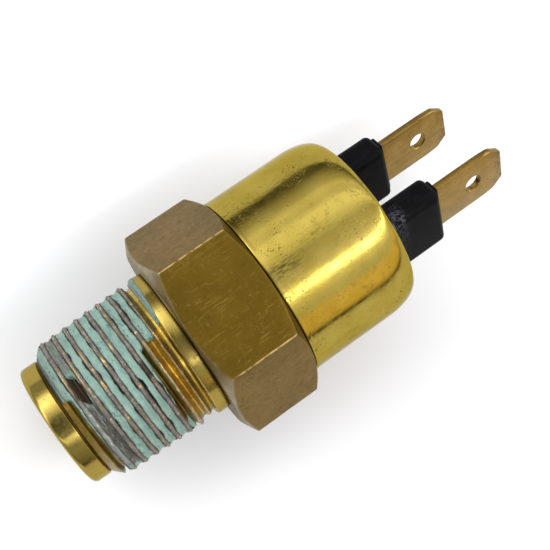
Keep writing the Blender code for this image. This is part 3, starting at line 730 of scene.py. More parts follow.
def hole_zone(x, t):
    """Bare, dark stretch of the second groove."""
    f = wrap(t)
    p = polar(x, 8.5, t)
    skew = 9.0 * (x + 11.9)
    return band(x + 0.16 * noise(p, (0.3, 0.5, 0.5), 41) - 0.004 * (f - 12.0),
                -12.40, -11.28, 0.06) * \
        band(f + skew + 4.5 * noise(p, (0.35, 0.4, 0.4), 42), 0.0, 24.0, 1.6)


def brown_zone(x, t):
    f = wrap(t)
    return band(x, -5.50, -4.98, 0.05) * band(f + 1.5 * noise(
        polar(x, 8.5, t), (0.3, 0.3, 0.3), 43), -11.0, 3.0, 1.0)


def glints(x, t):
    """Scraped stretches of crest, brightened as painted glints."""
    f = wrap(t)
    out = 0.0
    for cx, ct, sx, st in ((-12.55, 22, 0.10, 8), (-11.12, 18, 0.10, 14),
                           (-9.75, 27, 0.10, 6), (-8.22, 18, 0.08, 3),
                           (-6.83, 23, 0.10, 2.4), (-9.60, -27, 0.12, 3),
                           (-8.35, 27, 0.06, 3), (-12.6, -15, 0.08, 5)):
        out = out + np.exp(-((x - cx) / sx) ** 2 - ((f - ct) / st) ** 2)
    return np.clip(out, 0.0, 1.0)


def flat_radius(t):
    f = (np.asarray(t) + 30.0) % 60.0 - 30.0
    return 0.5 * HEX_AF / np.cos(np.radians(f))


HEX_N = [(math.sin(math.radians(60.0 * k)), math.cos(math.radians(60.0 * k)))
         for k in range(6)]


def hex_field(p, k):
    """Rounded signed distance to the hexagon, its gradient, and how close
    the point is to an edge."""
    x, y, z = p[..., 0], p[..., 1], p[..., 2]
    r = np.maximum(np.hypot(y, z), 1e-6)
    fs, gs = [], []
    for ny, nz in HEX_N:
        fs.append(y * ny + z * nz - 0.5 * HEX_AF)
        gs.append(np.stack([np.zeros_like(x), np.full_like(x, ny),
                            np.full_like(x, nz)], -1))
    s, c = math.sin(HEX_CHAMFER), math.cos(HEX_CHAMFER)
    for side in (-1.0, 1.0):
        xx = x if side < 0 else HEX_H - x
        fs.append((r - HEX_FACE_R) * s - xx * c)
        gs.append(np.stack([np.full_like(x, c * side), s * y / r, s * z / r], -1))
        fs.append(-xx)
        gs.append(np.stack([np.full_like(x, side), np.zeros_like(x),
                            np.zeros_like(x)], -1))
    f = np.stack(fs, 0)
    top = f.max(0)
    w = np.exp((f - top) / k)
    total = w.sum(0)
    value = top + k * np.log(total)
    w = w / total
    g = sum(w[i][..., None] * gs[i] for i in range(len(gs)))
    order = np.sort(f[:6], 0)
    return value, g, order[-1] - order[-2] + 3.0 * (top - order[-1])


def hex_rings(sh):
    """The hexagon's surface, from the seat face round to the cap side."""
    xt = (flat_radius(ANG) - HEX_FACE_R) * math.tan(HEX_CHAMFER)
    rows = []
    for r in (8.72, 9.1, 9.6, 10.1, 10.45, 10.65, 10.80, 10.90):
        rows.append((np.zeros(N_ANG), np.full(N_ANG, r)))
    for f in (0.0, 0.06, 0.15, 0.28, 0.42, 0.58, 0.72, 0.85, 0.94, 1.0):
        rows.append((xt * f, HEX_FACE_R + (flat_radius(ANG) - HEX_FACE_R) * f))
    mid = 0.5 * HEX_H
    left = []
    for d in (0.05, 0.11, 0.18, 0.28, 0.42, 0.65):
        left.append(xt + d)
    for f in (0.12, 0.28, 0.46, 0.64, 0.82, 1.0):
        left.append((xt + 0.65) + (mid - xt - 0.65) * f)
    for x in left:
        rows.append((x, flat_radius(ANG)))
    half = list(rows)
    for x, r in half[-2::-1]:
        rows.append((HEX_H - x, r))
    out = []
    for x, r in rows:
        p = polar(x, r, ANG)
        for _ in range(6):
            value, g, gap = hex_field(p, 0.045)
            n2 = np.maximum((g * g).sum(-1), 0.2)
            p = p - (value / n2)[..., None] * g
        value, g, gap = hex_field(p, 0.045)
        n = g / np.linalg.norm(g, axis=-1, keepdims=True)
        edge = np.exp(-(gap / 0.085) ** 2)
        dent = 0.010 * fbm(p, 3.5, 3) + 0.05 * edge * np.clip(
            noise(p, 0.55, 7) - 0.35, 0.0, 1.0)
        p = p - n * np.maximum(dent, 0.0)[..., None]
        haze = smooth(0.25, 0.0, p[:, 0] - (np.hypot(p[:, 1], p[:, 2]) - HEX_FACE_R)
                      * math.tan(HEX_CHAMFER)) * (p[:, 0] < mid)
        # painted sheen: the haze is made stronger on the upper and lower sides
        haze = haze * (0.22 + 0.78 * np.maximum(smooth(22.0, 42.0, wrap(ANG)),
                                                smooth(-24.0, -40.0, wrap(ANG))))
        rr = np.hypot(p[:, 1], p[:, 2])
        seat = smooth(0.12, 0.02, p[:, 0]) * smooth(HEX_FACE_R + 0.05, HEX_FACE_R - 0.1, rr)
        f = wrap(ANG)
        # painted sheen on the upper part of the seat face
        haze = np.maximum(haze, 0.75 * seat * smooth(8.0, 22.0, f))
        # painted shade on part of the seat face next to the collar
        shade_ = seat * band(f, -44.0, 4.0, 7.0) * smooth(10.5, 9.9, rr)
        out.append(sh.ring(p, edge=edge, haze=haze, shade=shade_))
    return out


def build_body():
    sh = Shell()

    def plain_rings(profile, seg_layers=None):
        ids = []
        for x, r in profile:
            layers = seg_layers(x, r) if seg_layers else {}
            ids.append(sh.ring(polar(x, np.full(N_ANG, r), ANG), **layers))
        return ids

    # port and nose, from the bore outwards
    bore = [(6.0, PORT_R), (-8.0, PORT_R), (-14.5, PORT_R),
            (NOSE_END + 0.40, PORT_R), (NOSE_END, PORT_R + 0.40)]
    bore = rounded(bore, [0, 0, 0, 0.10, 0.10], 3)
    face = rounded([(NOSE_END, PORT_R + 0.40), (NOSE_END, NOSE_R - 0.46),
                    (NOSE_END + 0.16, NOSE_R - 0.12), (NOSE_END + 0.46, NOSE_R),
                    (NOSE_END + NOSE_LAND - 0.12, NOSE_R),
                    (NOSE_END + NOSE_LAND, NOSE_R - 0.09),
                    (NOSE_END + NOSE_LAND + 0.02, NECK_R),
                    (-14.06, NECK_R + 0.04), (THREAD_LO, THREAD_LO_R)],
                   [0, 0.20, 0.35, 0.30, 0.06, 0.05, 0.05, 0.10, 0], 5)
    nose = spaced(bore[:-1] + face, 0.55)

    def nose_layers(x, r):
        # painted shade inside the bore and in the groove at the neck
        return {"deep": 1.0 if (r < PORT_R + 0.05 and x > NOSE_END + 0.5) else
                (0.75 if (abs(r - NECK_R) < 0.06 and x > -14.30) else 0.0),
                "edge": 0.0,
                "dull": float(smooth(-14.25, -14.05, x)) * 0.5}
    rings = plain_rings(nose, nose_layers)
    for a, b in zip(rings, rings[1:]):
        sh.join(a, b, 1)
    low = rings[-1]

    # thread: rows that follow the helix
    gs = [-0.705, -0.62, -0.55, -0.46, -0.36, -0.27, -0.20, -0.155, -0.12, -0.08,
          0.0, 0.08, 0.12, 0.155, 0.20, 0.27, 0.36, 0.46, 0.55, 0.62]
    gs = [g * PITCH / 1.41111 for g in gs]
    per = len(gs)
    turn = (180.0 - ANG) / 360.0          # runs down as the angle goes up
    high_r = thread_radius(np.full(N_ANG, THREAD_HI), ANG, False)
    high = sh.ring(polar(THREAD_HI, high_r, ANG), bare=1.0, crest=0.0, dull=0.35)
    table = []
    for k in range(-2, 12):
        for g in gs:
            x = THREAD_Z0 + PITCH * (k + turn) + g
            lo, hi = x < THREAD_LO + 0.02, x > THREAD_HI - 0.02
            xs = np.clip(x, THREAD_LO, THREAD_HI)
            r = thread_radius(xs, ANG)
            d = crest_distance(xs, ANG)
            bare = bare_zone(xs, ANG)
            hole = hole_zone(xs, ANG)
            row = sh.ring(
                polar(xs, r, ANG),
                crest=thread_height(d) / THREAD_DEPTH * (xs > -13.3),
                bare=np.clip(bare + smooth(-2.75, -2.55, xs), 0, 1) * (1 - hole),
                smear=streak_zone(xs, ANG) * (1 - bare),
                # dark: the bare dark stretch, the brown patch, painted shade on the low flanks of the
                # last bare turn, and a darker bare lead-in
                dark=np.clip(hole + brown_zone(xs, ANG) + 0.72 * bare *
                             band(xs, -4.95, -4.12, 0.06) *
                             (thread_height(d) < 0.75 * THREAD_DEPTH) +
                             0.55 * bare * (xs < -12.7), 0, 1),
                glint=glints(xs, ANG), dull=np.full(N_ANG, 0.8))
            row = np.where(lo, low, np.where(hi, high, row))
            table.append(row)
    for k in range(len(table)):
        a, b = table[k], table[k + 1] if k + 1 < len(table) else None
        if b is None:
            break
        for i in range(N_ANG):
            j = (i + 1) % N_ANG
            if j:
                aj, bj = a[j], b[j]
            else:
                # one full turn on, the helix is a pitch back
                aj = table[k - per][0] if k >= per else low[0]
                bj = table[k + 1 - per][0] if k + 1 >= per else low[0]
            sh.face([a[i], aj, bj, b[i]], 2)

    # relief, collar and the corner under the hexagon
    collar = rounded([(THREAD_HI, float(high_r.mean())), (COLLAR_LO - 0.15, RELIEF_R + 0.02),
                      (COLLAR_LO, COLLAR_R - 0.17), (COLLAR_LO + 0.16, COLLAR_R),
                      (-0.12, COLLAR_R), (-0.06, COLLAR_R - 0.10),
                      (0.0, COLLAR_R - 0.10), (0.0, 8.70)],
                     [0, 0.05, 0.08, 0.10, 0.05, 0.05, 0.0, 0], 4)
    collar = spaced(collar[1:], 0.45)

    def collar_layers(x, r):
        front = wrap(ANG)
        # painted dark reflection bands round the collar; painted shade in the corner under the hexagon
        painted_dark_band = 0.42 * band(front, -17.0, 3.0, 3.0) + 0.25 * band(front, -45.0, -39.0, 2.0)
        return {"deep": np.maximum(0.9 if (x > -0.09) else 0.0,
                                   painted_dark_band * (r > RELIEF_R + 0.3)),
                "edge": 0.6 if abs(x - (COLLAR_LO + 0.08)) < 0.06 else 0.0,
                "dull": 0.25 if x < COLLAR_LO - 0.05 else 0.0}
    rings = [high] + plain_rings(collar[:-1], collar_layers)
    for a, b in zip(rings, rings[1:]):
        sh.join(a, b, 1)
    hexes = hex_rings(sh)
    sh.join(rings[-1], hexes[0], 1)
    for a, b in zip(hexes, hexes[1:]):
        sh.join(a, b, 0)

    # spigot under the cap, diaphragm cavity, pressure chamber
    spigot = [(HEX_H, 10.30), (9.62, 10.20), (9.62, 10.15), (12.95, 10.15),
              (13.20, 9.90), (13.20, 8.55), (12.95, 8.30), (6.80, 8.30),
              (6.80, 5.20), (5.60, 5.20), (5.60, PORT_R)]
    inner = plain_rings(spaced(spigot, 2.5), lambda x, r: {"dull": 0.2})
    sh.join(hexes[-1], inner[0], 1)
    for a, b in zip(inner, inner[1:]):
        sh.join(a, b, 1)
    # the bore starts at x = 6.0 in nose[0]; close the loop at x = 5.6
    sh.join(inner[-1], np.asarray(first_ring(sh)), 1)
    return sh.build("switch_body", [M_HEX, M_TURNED, M_THREAD], 50.0)


def first_ring(sh):
    return range(N_ANG)


body = build_body()
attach(body, "housing")
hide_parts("body")


# ------------------------------------------------------------------ sealant
def coat():
    """Set sealant in the thread's grooves, torn back from the crests."""
    sh = Shell()
    ang = np.arange(0.0, 360.0, 1.0)
    n = len(ang)
    turn = (180.0 - ang) / 360.0
    lo_x, hi_x = -13.72, -2.35
    gs = [0.0, 0.07, 0.12, 0.155, 0.185, 0.215, 0.25, 0.29, 0.34, 0.40, 0.48,
          0.58, 0.66]
    gs = sorted([-g for g in gs if g] + gs + [0.7055])
    per = len(gs)

    def level(x, t):
        p = polar(x, 8.5, t)
        f = wrap(t)
        d = crest_distance(x, t)
        a = np.abs(d)
        root = CREST_R - THREAD_DEPTH + taper_at(x)
        brass = thread_height(d)
        # nearly level with the crests, a little hollow between them
        full = 0.80 + 0.06 * fbm(p, (0.6, 2.2, 2.2), 11) + 0.045 * noise(p, 0.35, 12)
        full = full - 0.16 * smooth(0.25, 0.70, a)
        full = full - 0.30 * streak_zone(x, t) * smooth(0.15, 0.5, a)
        # the edge wanders, and here and there stands well off the crest
        side = np.sign(d)
        q = polar(x * 0.0 + np.round((x - THREAD_Z0) / PITCH - (180.0 - t) / 360.0)
                  * 3.1 + side * 1.3, 8.5, t)
        edge = 0.240 + 0.040 * noise(q, 1.1, 21) + 0.040 * noise(q, 0.32, 22)
        torn = smooth(0.18, 0.48, noise(q, (0.9, 1.7, 1.7), 23))
        edge = edge + 0.14 * torn * (0.6 + 0.4 * noise(q, 0.5, 24))
        for cx, t0, t1, w in ((-10.22, -28.0, 8.0, 0.16), (-8.52, -10.0, 5.0, 0.16),
                              (-6.38, -33.0, -7.0, 0.20), (-6.98, -13.0, -2.0, 0.10),
                              (-6.22, -52.0, -33.0, 0.06), (-5.52, 0.0, 16.0, 0.07),
                              (-4.40, 20.0, 36.0, 0.08), (-10.12, -50.0, -30.0, 0.08)):
            edge = edge + w * band(f, t0, t1, 3.0) * np.exp(-((x - cx) / 0.32) ** 4)
        over = full - brass
        drop = smooth(edge + 0.012, edge - 0.012, a)
        gone = np.clip(bare_zone(x, t) + hole_zone(x, t), 0.0, 1.0)
        # the last groove before the collar is filled only on the upper side
        tail = smooth(-3.05, -2.75, x) * smooth(16.0, 10.0, f) * smooth(-106.0, -96.0, f)
        gone = np.clip(gone + tail, 0.0, 1.0)
        h = np.where(over > 0.0, full, brass - 0.05)
        h = h - drop * (h - (brass - 0.12))
        h = h - gone * np.maximum(h - (brass - 0.14), 0.0)
        h = np.minimum(h, np.maximum(full, 0.0))
        r = root + h
        cone = THREAD_LO_R + (x - THREAD_LO) * 1.02
        r = np.minimum(r, cone + 0.10 - 0.25 * gone)
        run = smooth(THREAD_HI - THREAD_RUNOUT, THREAD_HI, x)
        r = r - run * 0.45
        rim = np.exp(-((a - edge - 0.02) / (0.050 + 0.045 * np.clip(
            noise(q, 0.7, 25) + 0.3, 0.0, 1.0))) ** 2) * (1.0 - gone)
        grey = np.clip(smooth(-12.7, -13.1, x) * 0.35
                       + streak_zone(x, t) + 0.8 * band(x, -12.7, -11.0, 0.2) *
                       smooth(20.0, 30.0, f) * smooth(120.0, 90.0, f), 0.0, 1.0)
        return r, rim, grey

    table, inner = [], []
    lo_r, lo_rim, lo_grey = level(np.full(n, lo_x), ang)
    hi_r, hi_rim, hi_grey = level(np.full(n, hi_x), ang)
    low = sh.ring(polar(lo_x, lo_r, ang), rim=lo_rim, grey=lo_grey)
    high = sh.ring(polar(hi_x, hi_r, ang), rim=hi_rim, grey=hi_grey)
    for k in range(-2, 12):
        for g in gs:
            x = THREAD_Z0 + PITCH * (k + turn) + g * PITCH / 1.41111
            lo, hi = x < lo_x + 0.015, x > hi_x - 0.015
            xs = np.clip(x, lo_x, hi_x)
            r, rim, grey = level(xs, ang)
            row = sh.ring(polar(xs, r, ang), rim=rim, grey=grey)
            table.append(np.where(lo, low, np.where(hi, high, row)))
    for k in range(len(table) - 1):
        a, b = table[k], table[k + 1]
        for i in range(n):
            j = (i + 1) % n
            if j:
                aj, bj = a[j], b[j]
            else:
                aj = table[k - per][0] if k >= per else low[0]
                bj = table[k + 1 - per][0] if k + 1 >= per else low[0]
            sh.face([a[i], aj, bj, b[i]], 0)
    # inner skin, buried in the brass
    ids = [low]
    for x in (lo_x, -12.5, -10.0, -6.0, hi_x):
        r = min(7.0, 6.9) if x < -13 else 7.25
        ids.append(sh.ring(polar(x, np.full(n, r), ang)))
    ids.append(high)
    for a, b in zip(ids, ids[1:]):
        sh.join(b, a, 0)
    return sh.build("sealant_coat", [M_SEALANT], 60.0)


coat_piece = coat()
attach(coat_piece, "housing")
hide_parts("thread_sealant")


def collar_smear():
    """Thin sealant dragged over the relief and the upper part of the collar."""
    sh = Shell()
    t = np.linspace(8.0, 205.0, 150)
    xs = np.linspace(-2.75, -0.42, 40)
    prof_x = np.array([-2.75, -1.75, -1.62, -1.50, -1.34, -0.34])
    prof_r = np.array([8.05, 7.95, 7.92, 8.50, 8.68, 8.68])
    base = np.interp(xs, prof_x, prof_r)
    rows_o, rows_i = [], []
    for x, r in zip(xs, base):
        p = polar(x, 8.6, t)
        # right edge runs from the collar's middle at the top to its left edge
        right = -1.30 + 0.0075 * (t - 18.0) + 0.10 * noise(p, (9.0, 1.4, 1.4), 51)
        right = np.minimum(right, -0.62 + 0.08 * noise(p, 0.8, 52))
        left = -1.78 + 0.05 * noise(p, (9.0, 1.0, 1.0), 53)
        on = band(x, left, right, 0.05) * smooth(14.0, 20.0, t) * smooth(202.0, 196.0, t)
        fill = r + 0.0 * t
        thick = 0.055 + 0.03 * fbm(p, 0.9, 54)
        low = np.maximum(fill, 8.32 * band(x, -1.75, -1.45, 0.06))
        rr = fill - 0.10 + on * (np.maximum(low, fill) - fill + 0.10 + thick)
        rows_o.append(sh.ring(polar(x, rr, t), rim=band(x, right - 0.02, right + 0.05, 0.05) * on * 0.6,
                              grey=np.full(len(t), 0.35)))
        rows_i.append(sh.ring(polar(x, r - 0.22, t)))
    for a, b in zip(rows_o, rows_o[1:]):
        sh.join(a, b, 0, closed=False)
    for a, b in zip(rows_i, rows_i[1:]):
        sh.join(b, a, 0, closed=False)
    sh.join(rows_i[0], rows_o[0], 0, closed=False)
    sh.join(rows_o[-1], rows_i[-1], 0, closed=False)
    for k in (0, -1):
        for (a, b), (c, d) in zip(zip(rows_o, rows_o[1:]), zip(rows_i, rows_i[1:])):
            sh.face([a[k], b[k], d[k], c[k]], 0)
    return sh.build("sealant_smear", [M_SEALANT], 60.0)


smear_piece = collar_smear()
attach(smear_piece, "housing")


# ------------------------------------------------------------------ cap
def cap_profile():
    out = [(CAP_Z0 + 0.02, CAP_R - 0.44), (CAP_Z0, CAP_R - 0.30),
           (CAP_Z0, CAP_R + 0.05), (CAP_Z0 + 0.42, CAP_R + 0.03),
           (CAP_Z0 + 0.62, CAP_R), (CAP_SHOULDER_Z, CAP_R)]
    out = rounded(out, [0, 0.04, 0.20, 0.15, 0.15, 0], 5)
    steps = 26
    for i in range(1, steps + 1):
        t = 0.5 * math.pi * i / steps
        out.append((CAP_SHOULDER_Z + (CAP_END_Z - CAP_SHOULDER_Z) * math.sin(t),
                    CAP_R - (CAP_R - CAP_END_R) * (1.0 - math.cos(t))))
    out += rounded([out[-1], (CAP_END_Z, CAP_OPEN_R + 0.02),
                    (CAP_END_Z - 0.30, CAP_OPEN_R), (CAP_END_Z - 0.50, CAP_OPEN_R + 0.04)],
                   [0, 0.16, 0.10, 0], 4)[1:]
    # back down the inside
    for i in range(0, 11):
        t = 0.5 * math.pi * (1.0 - i / 10.0)
        out.append((CAP_SHOULDER_Z + (CAP_END_Z - 0.52 - CAP_SHOULDER_Z) * math.sin(t),
                    CAP_R - CAP_T - (CAP_R - CAP_END_R) * (1.0 - math.cos(t))))
    out += [(15.0, CAP_R - CAP_T)]
    return out


def cap_wobble(x, r, t):
    p = polar(np.full(len(t), x), r, t)
    out = 0.010 * fbm(p, (9.0, 3.2, 3.2), 61) + 0.004 * noise(p, (14.0, 1.1, 1.1), 62)
    out = out + 0.004 * noise(p, 1.6, 63)
    return (out - 0.006) * (1.0 if r > CAP_R - 0.2 or x > 20.0 else 0.3)


def cap_marks(x, t):
    """Where dark reflections are painted on the cap and where its pits gather."""
    f = wrap(t)

    def spot(cx, sx, ct, st):
        return math.exp(-((x - cx) / sx) ** 2) * np.exp(-((f - ct) / st) ** 2)
    # painted dark reflections: patches at the front and streaks at fixed angles along the cap
    smudge = spot(11.6, 2.3, -1.0, 4.5) + 0.45 * spot(16.0, 2.6, 5.0, 3.0) + \
        0.75 * float(band(x, 9.8, 19.0, 1.2)) * np.exp(-((f - 41.0) / 2.4) ** 2) + \
        0.35 * float(band(x, 9.8, 20.0, 1.2)) * np.exp(-((f + 44.5) / 1.6) ** 2)
    speckle = spot(13.6, 1.6, 19.0, 6.0) + 0.8 * spot(14.6, 1.6, -33.0, 4.0) + \
        0.6 * spot(12.5, 1.5, 31.0, 6.0) + 0.7 * spot(17.6, 1.6, -52.0, 5.0) + \
        0.5 * spot(15.0, 3.0, 48.0, 5.0) + 0.5 * spot(12.0, 2.0, -18.0, 5.0)
    return {"smudge": np.clip(smudge, 0, 1), "speckle": np.clip(speckle, 0, 1)}


cap = turned("cap_shell", spaced(cap_profile(), 0.42), [M_CAP], seg=240, closed=True,
             angle=50.0, wobble=cap_wobble, marks=cap_marks)
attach(cap, "housing")
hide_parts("cap")


# ------------------------------------------------------------------ header
def blade_place(mesh, index):
    mesh.transform(Matrix.Scale(MM, 4) @ BLADES[index])


def boss_mesh(index):
    """One moulded boss, its end rounded, with a low collar round the blade."""
    bm = bmesh.new()
    bmesh.ops.create_cube(bm, size=1.0)
    z0 = 22.0
    bmesh.ops.scale(bm, vec=(BOSS_W, BOSS_T, BOSS_END - z0), verts=bm.verts)
    bmesh.ops.translate(bm, vec=(BLADE_STAGGER, BLADE_OFFSET, 0.5 * (BOSS_END + z0)),
                        verts=bm.verts)
    for v in bm.verts:                      # draft
        if v.co.z > 25.0:
            v.co.x = BLADE_STAGGER + (v.co.x - BLADE_STAGGER) * 0.998
            v.co.y = BLADE_OFFSET + (v.co.y - BLADE_OFFSET) * 0.985
    upright = [e for e in bm.edges if abs(e.verts[0].co.z - e.verts[1].co.z) > 1.0]
    bmesh.ops.bevel(bm, geom=upright, offset=1.10, segments=8, profile=0.5,
                    affect='EDGES', clamp_overlap=True)
    top = max(v.co.z for v in bm.verts)
    rim = [e for e in bm.edges if all(abs(v.co.z - top) < 1e-4 for v in e.verts)
           and any(abs(f.normal.z) < 0.5 for f in e.link_faces)]
    bmesh.ops.bevel(bm, geom=rim, offset=0.62, segments=6, profile=0.5,
                    affect='EDGES', clamp_overlap=True)
    low = bmesh.new()                       # the collar at the blade's root
    bmesh.ops.create_cube(low, size=1.0)
    bmesh.ops.scale(low, vec=(BLADE_W + 1.10, BLADE_T + 1.00, 0.90), verts=low.verts)
    bmesh.ops.translate(low, vec=(BLADE_STAGGER, BLADE_OFFSET, BOSS_END - 0.05),
                        verts=low.verts)
    bmesh.ops.bevel(low, geom=list(low.edges), offset=0.16, segments=3, profile=0.5,
                    affect='EDGES', clamp_overlap=True)
    part = bpy.data.meshes.new("root_collar")
    low.to_mesh(part)
    low.free()
    bm.from_mesh(part)
    bpy.data.meshes.remove(part)
    return bm


def header_mesh():
    t = np.arange(96) * 3.75
    profile = rounded(
        [(HUB_TOP, 1.65), (HUB_TOP, HUB_R), (22.60, HUB_R), (22.60, 8.45),
         (21.60, 9.30), (19.90, 10.10), (19.45, 10.10), (19.45, 9.20),
         (18.35, 9.20), (18.35, 10.10), (13.40, 10.10), (13.40, 8.00),
         (11.65, 8.00), (11.65, 7.20), (13.50, 7.20), (13.50, 8.50),
         (17.50, 8.50), (17.50, 2.80), (21.90, 2.80), (21.90, 1.65)],
        [0, 0.18, 0.20, 0.1, 0.2, 0.2, 0.05, 0.05, 0.05, 0.05, 0.05, 0.05, 0.05,
         0.05, 0.05, 0.05, 0.2, 0.1, 0.1, 0], 3)
    sh = Shell()
    rings = [sh.ring(polar(x, np.full(96, r), t), scuff=0.0) for x, r in profile]
    for a, b in zip(rings, rings[1:]):
        sh.join(a, b)
    sh.join(rings[-1], rings[0])
    base = sh.build("header_moulding", [M_BLACK], 40.0)
    bm = bmesh.new()
    bm.from_mesh(base.data)
    scuff = bm.verts.layers.float.get("scuff")
    for index in (1, 2):
        part = boss_mesh(index)
        mesh = bpy.data.meshes.new("boss")
        part.to_mesh(mesh)
        part.free()
        blade_place(mesh, index)
        bm.from_mesh(mesh)
        bpy.data.meshes.remove(mesh)
    edges = [e for e in bm.edges
             if abs(e.verts[0].co.x - e.verts[1].co.x) > 6.0 * MM]
    # more points along the bosses, for the scuffs
    bmesh.ops.subdivide_edges(bm, edges=edges, cuts=22, use_grid_fill=True)
    bm.verts.ensure_lookup_table()
    scuff = bm.verts.layers.float.get("scuff")
    co = np.array([v.co for v in bm.verts]) / MM
    far = np.abs(co[:, 0] - 25.3) / 0.65
    s2 = np.exp(-far ** 2 - ((co[:, 1] + 2.8) / 1.0) ** 2 - ((co[:, 2] - 7.2) / 1.0) ** 2)
    for v, s in zip(bm.verts, s2):
        v[scuff] = float(s)
    bm.to_mesh(base.data)
    bm.free()
    shade(base, 40.0)
    return base


header = header_mesh()
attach(header, "housing")
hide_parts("header")


# ------------------------------------------------------------------ potting
def boss_distance(y, z):
    """Distance in mm from a point of the end face to the nearest boss."""
    best = None
    for index in (1, 2):
        inv = BLADES[index].inverted()
        ox = inv[0][1] * y + inv[0][2] * z
        oy = inv[1][1] * y + inv[1][2] * z
        dx = np.abs(ox - BLADE_STAGGER) - (0.5 * BOSS_W - 1.25)
        dy = np.abs(oy - BLADE_OFFSET) - (0.5 * BOSS_T - 1.25)
        d = np.hypot(np.maximum(dx, 0), np.maximum(dy, 0)) + \
            np.minimum(np.maximum(dx, dy), 0) - 1.25
        best = d if best is None else np.minimum(best, d)
    return best


def potting():
    sh = Shell()
    seg = 180
    t = np.arange(seg) * 2.0
    rows = []
    for r in np.concatenate([np.linspace(2.50, 8.10, 34), np.linspace(8.2, 8.62, 6)]):
        p = polar(24.0, np.full(seg, r), t)
        d = np.maximum(boss_distance(p[:, 1], p[:, 2]), 0.0)
        x = 24.30 + 0.05 * fbm(p, 2.2, 71) - 0.10 * smooth(3.0, 8.0, r)
        x = x + 0.38 * np.exp(-d / 0.45) + 0.18 * math.exp(-(r - 2.5) / 0.3)
        x = x - 0.42 * smooth(8.15, 8.62, r)
        rows.append(sh.ring(polar(np.minimum(x, POTTING_TOP), np.full(seg, r), t)))
    for x, r in ((23.70, 8.72), (23.40, 8.74), (23.25, 8.72), (22.78, 8.25),
                 (22.78, 5.0), (22.78, 2.50)):
        rows.append(sh.ring(polar(x, np.full(seg, r), t)))
    for a, b in zip(rows, rows[1:]):
        sh.join(a, b)
    sh.join(rows[-1], rows[0])
    return sh.build("potting_fill", [M_POTTING], 45.0)


pot = potting()
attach(pot, "housing")
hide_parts("end_potting")


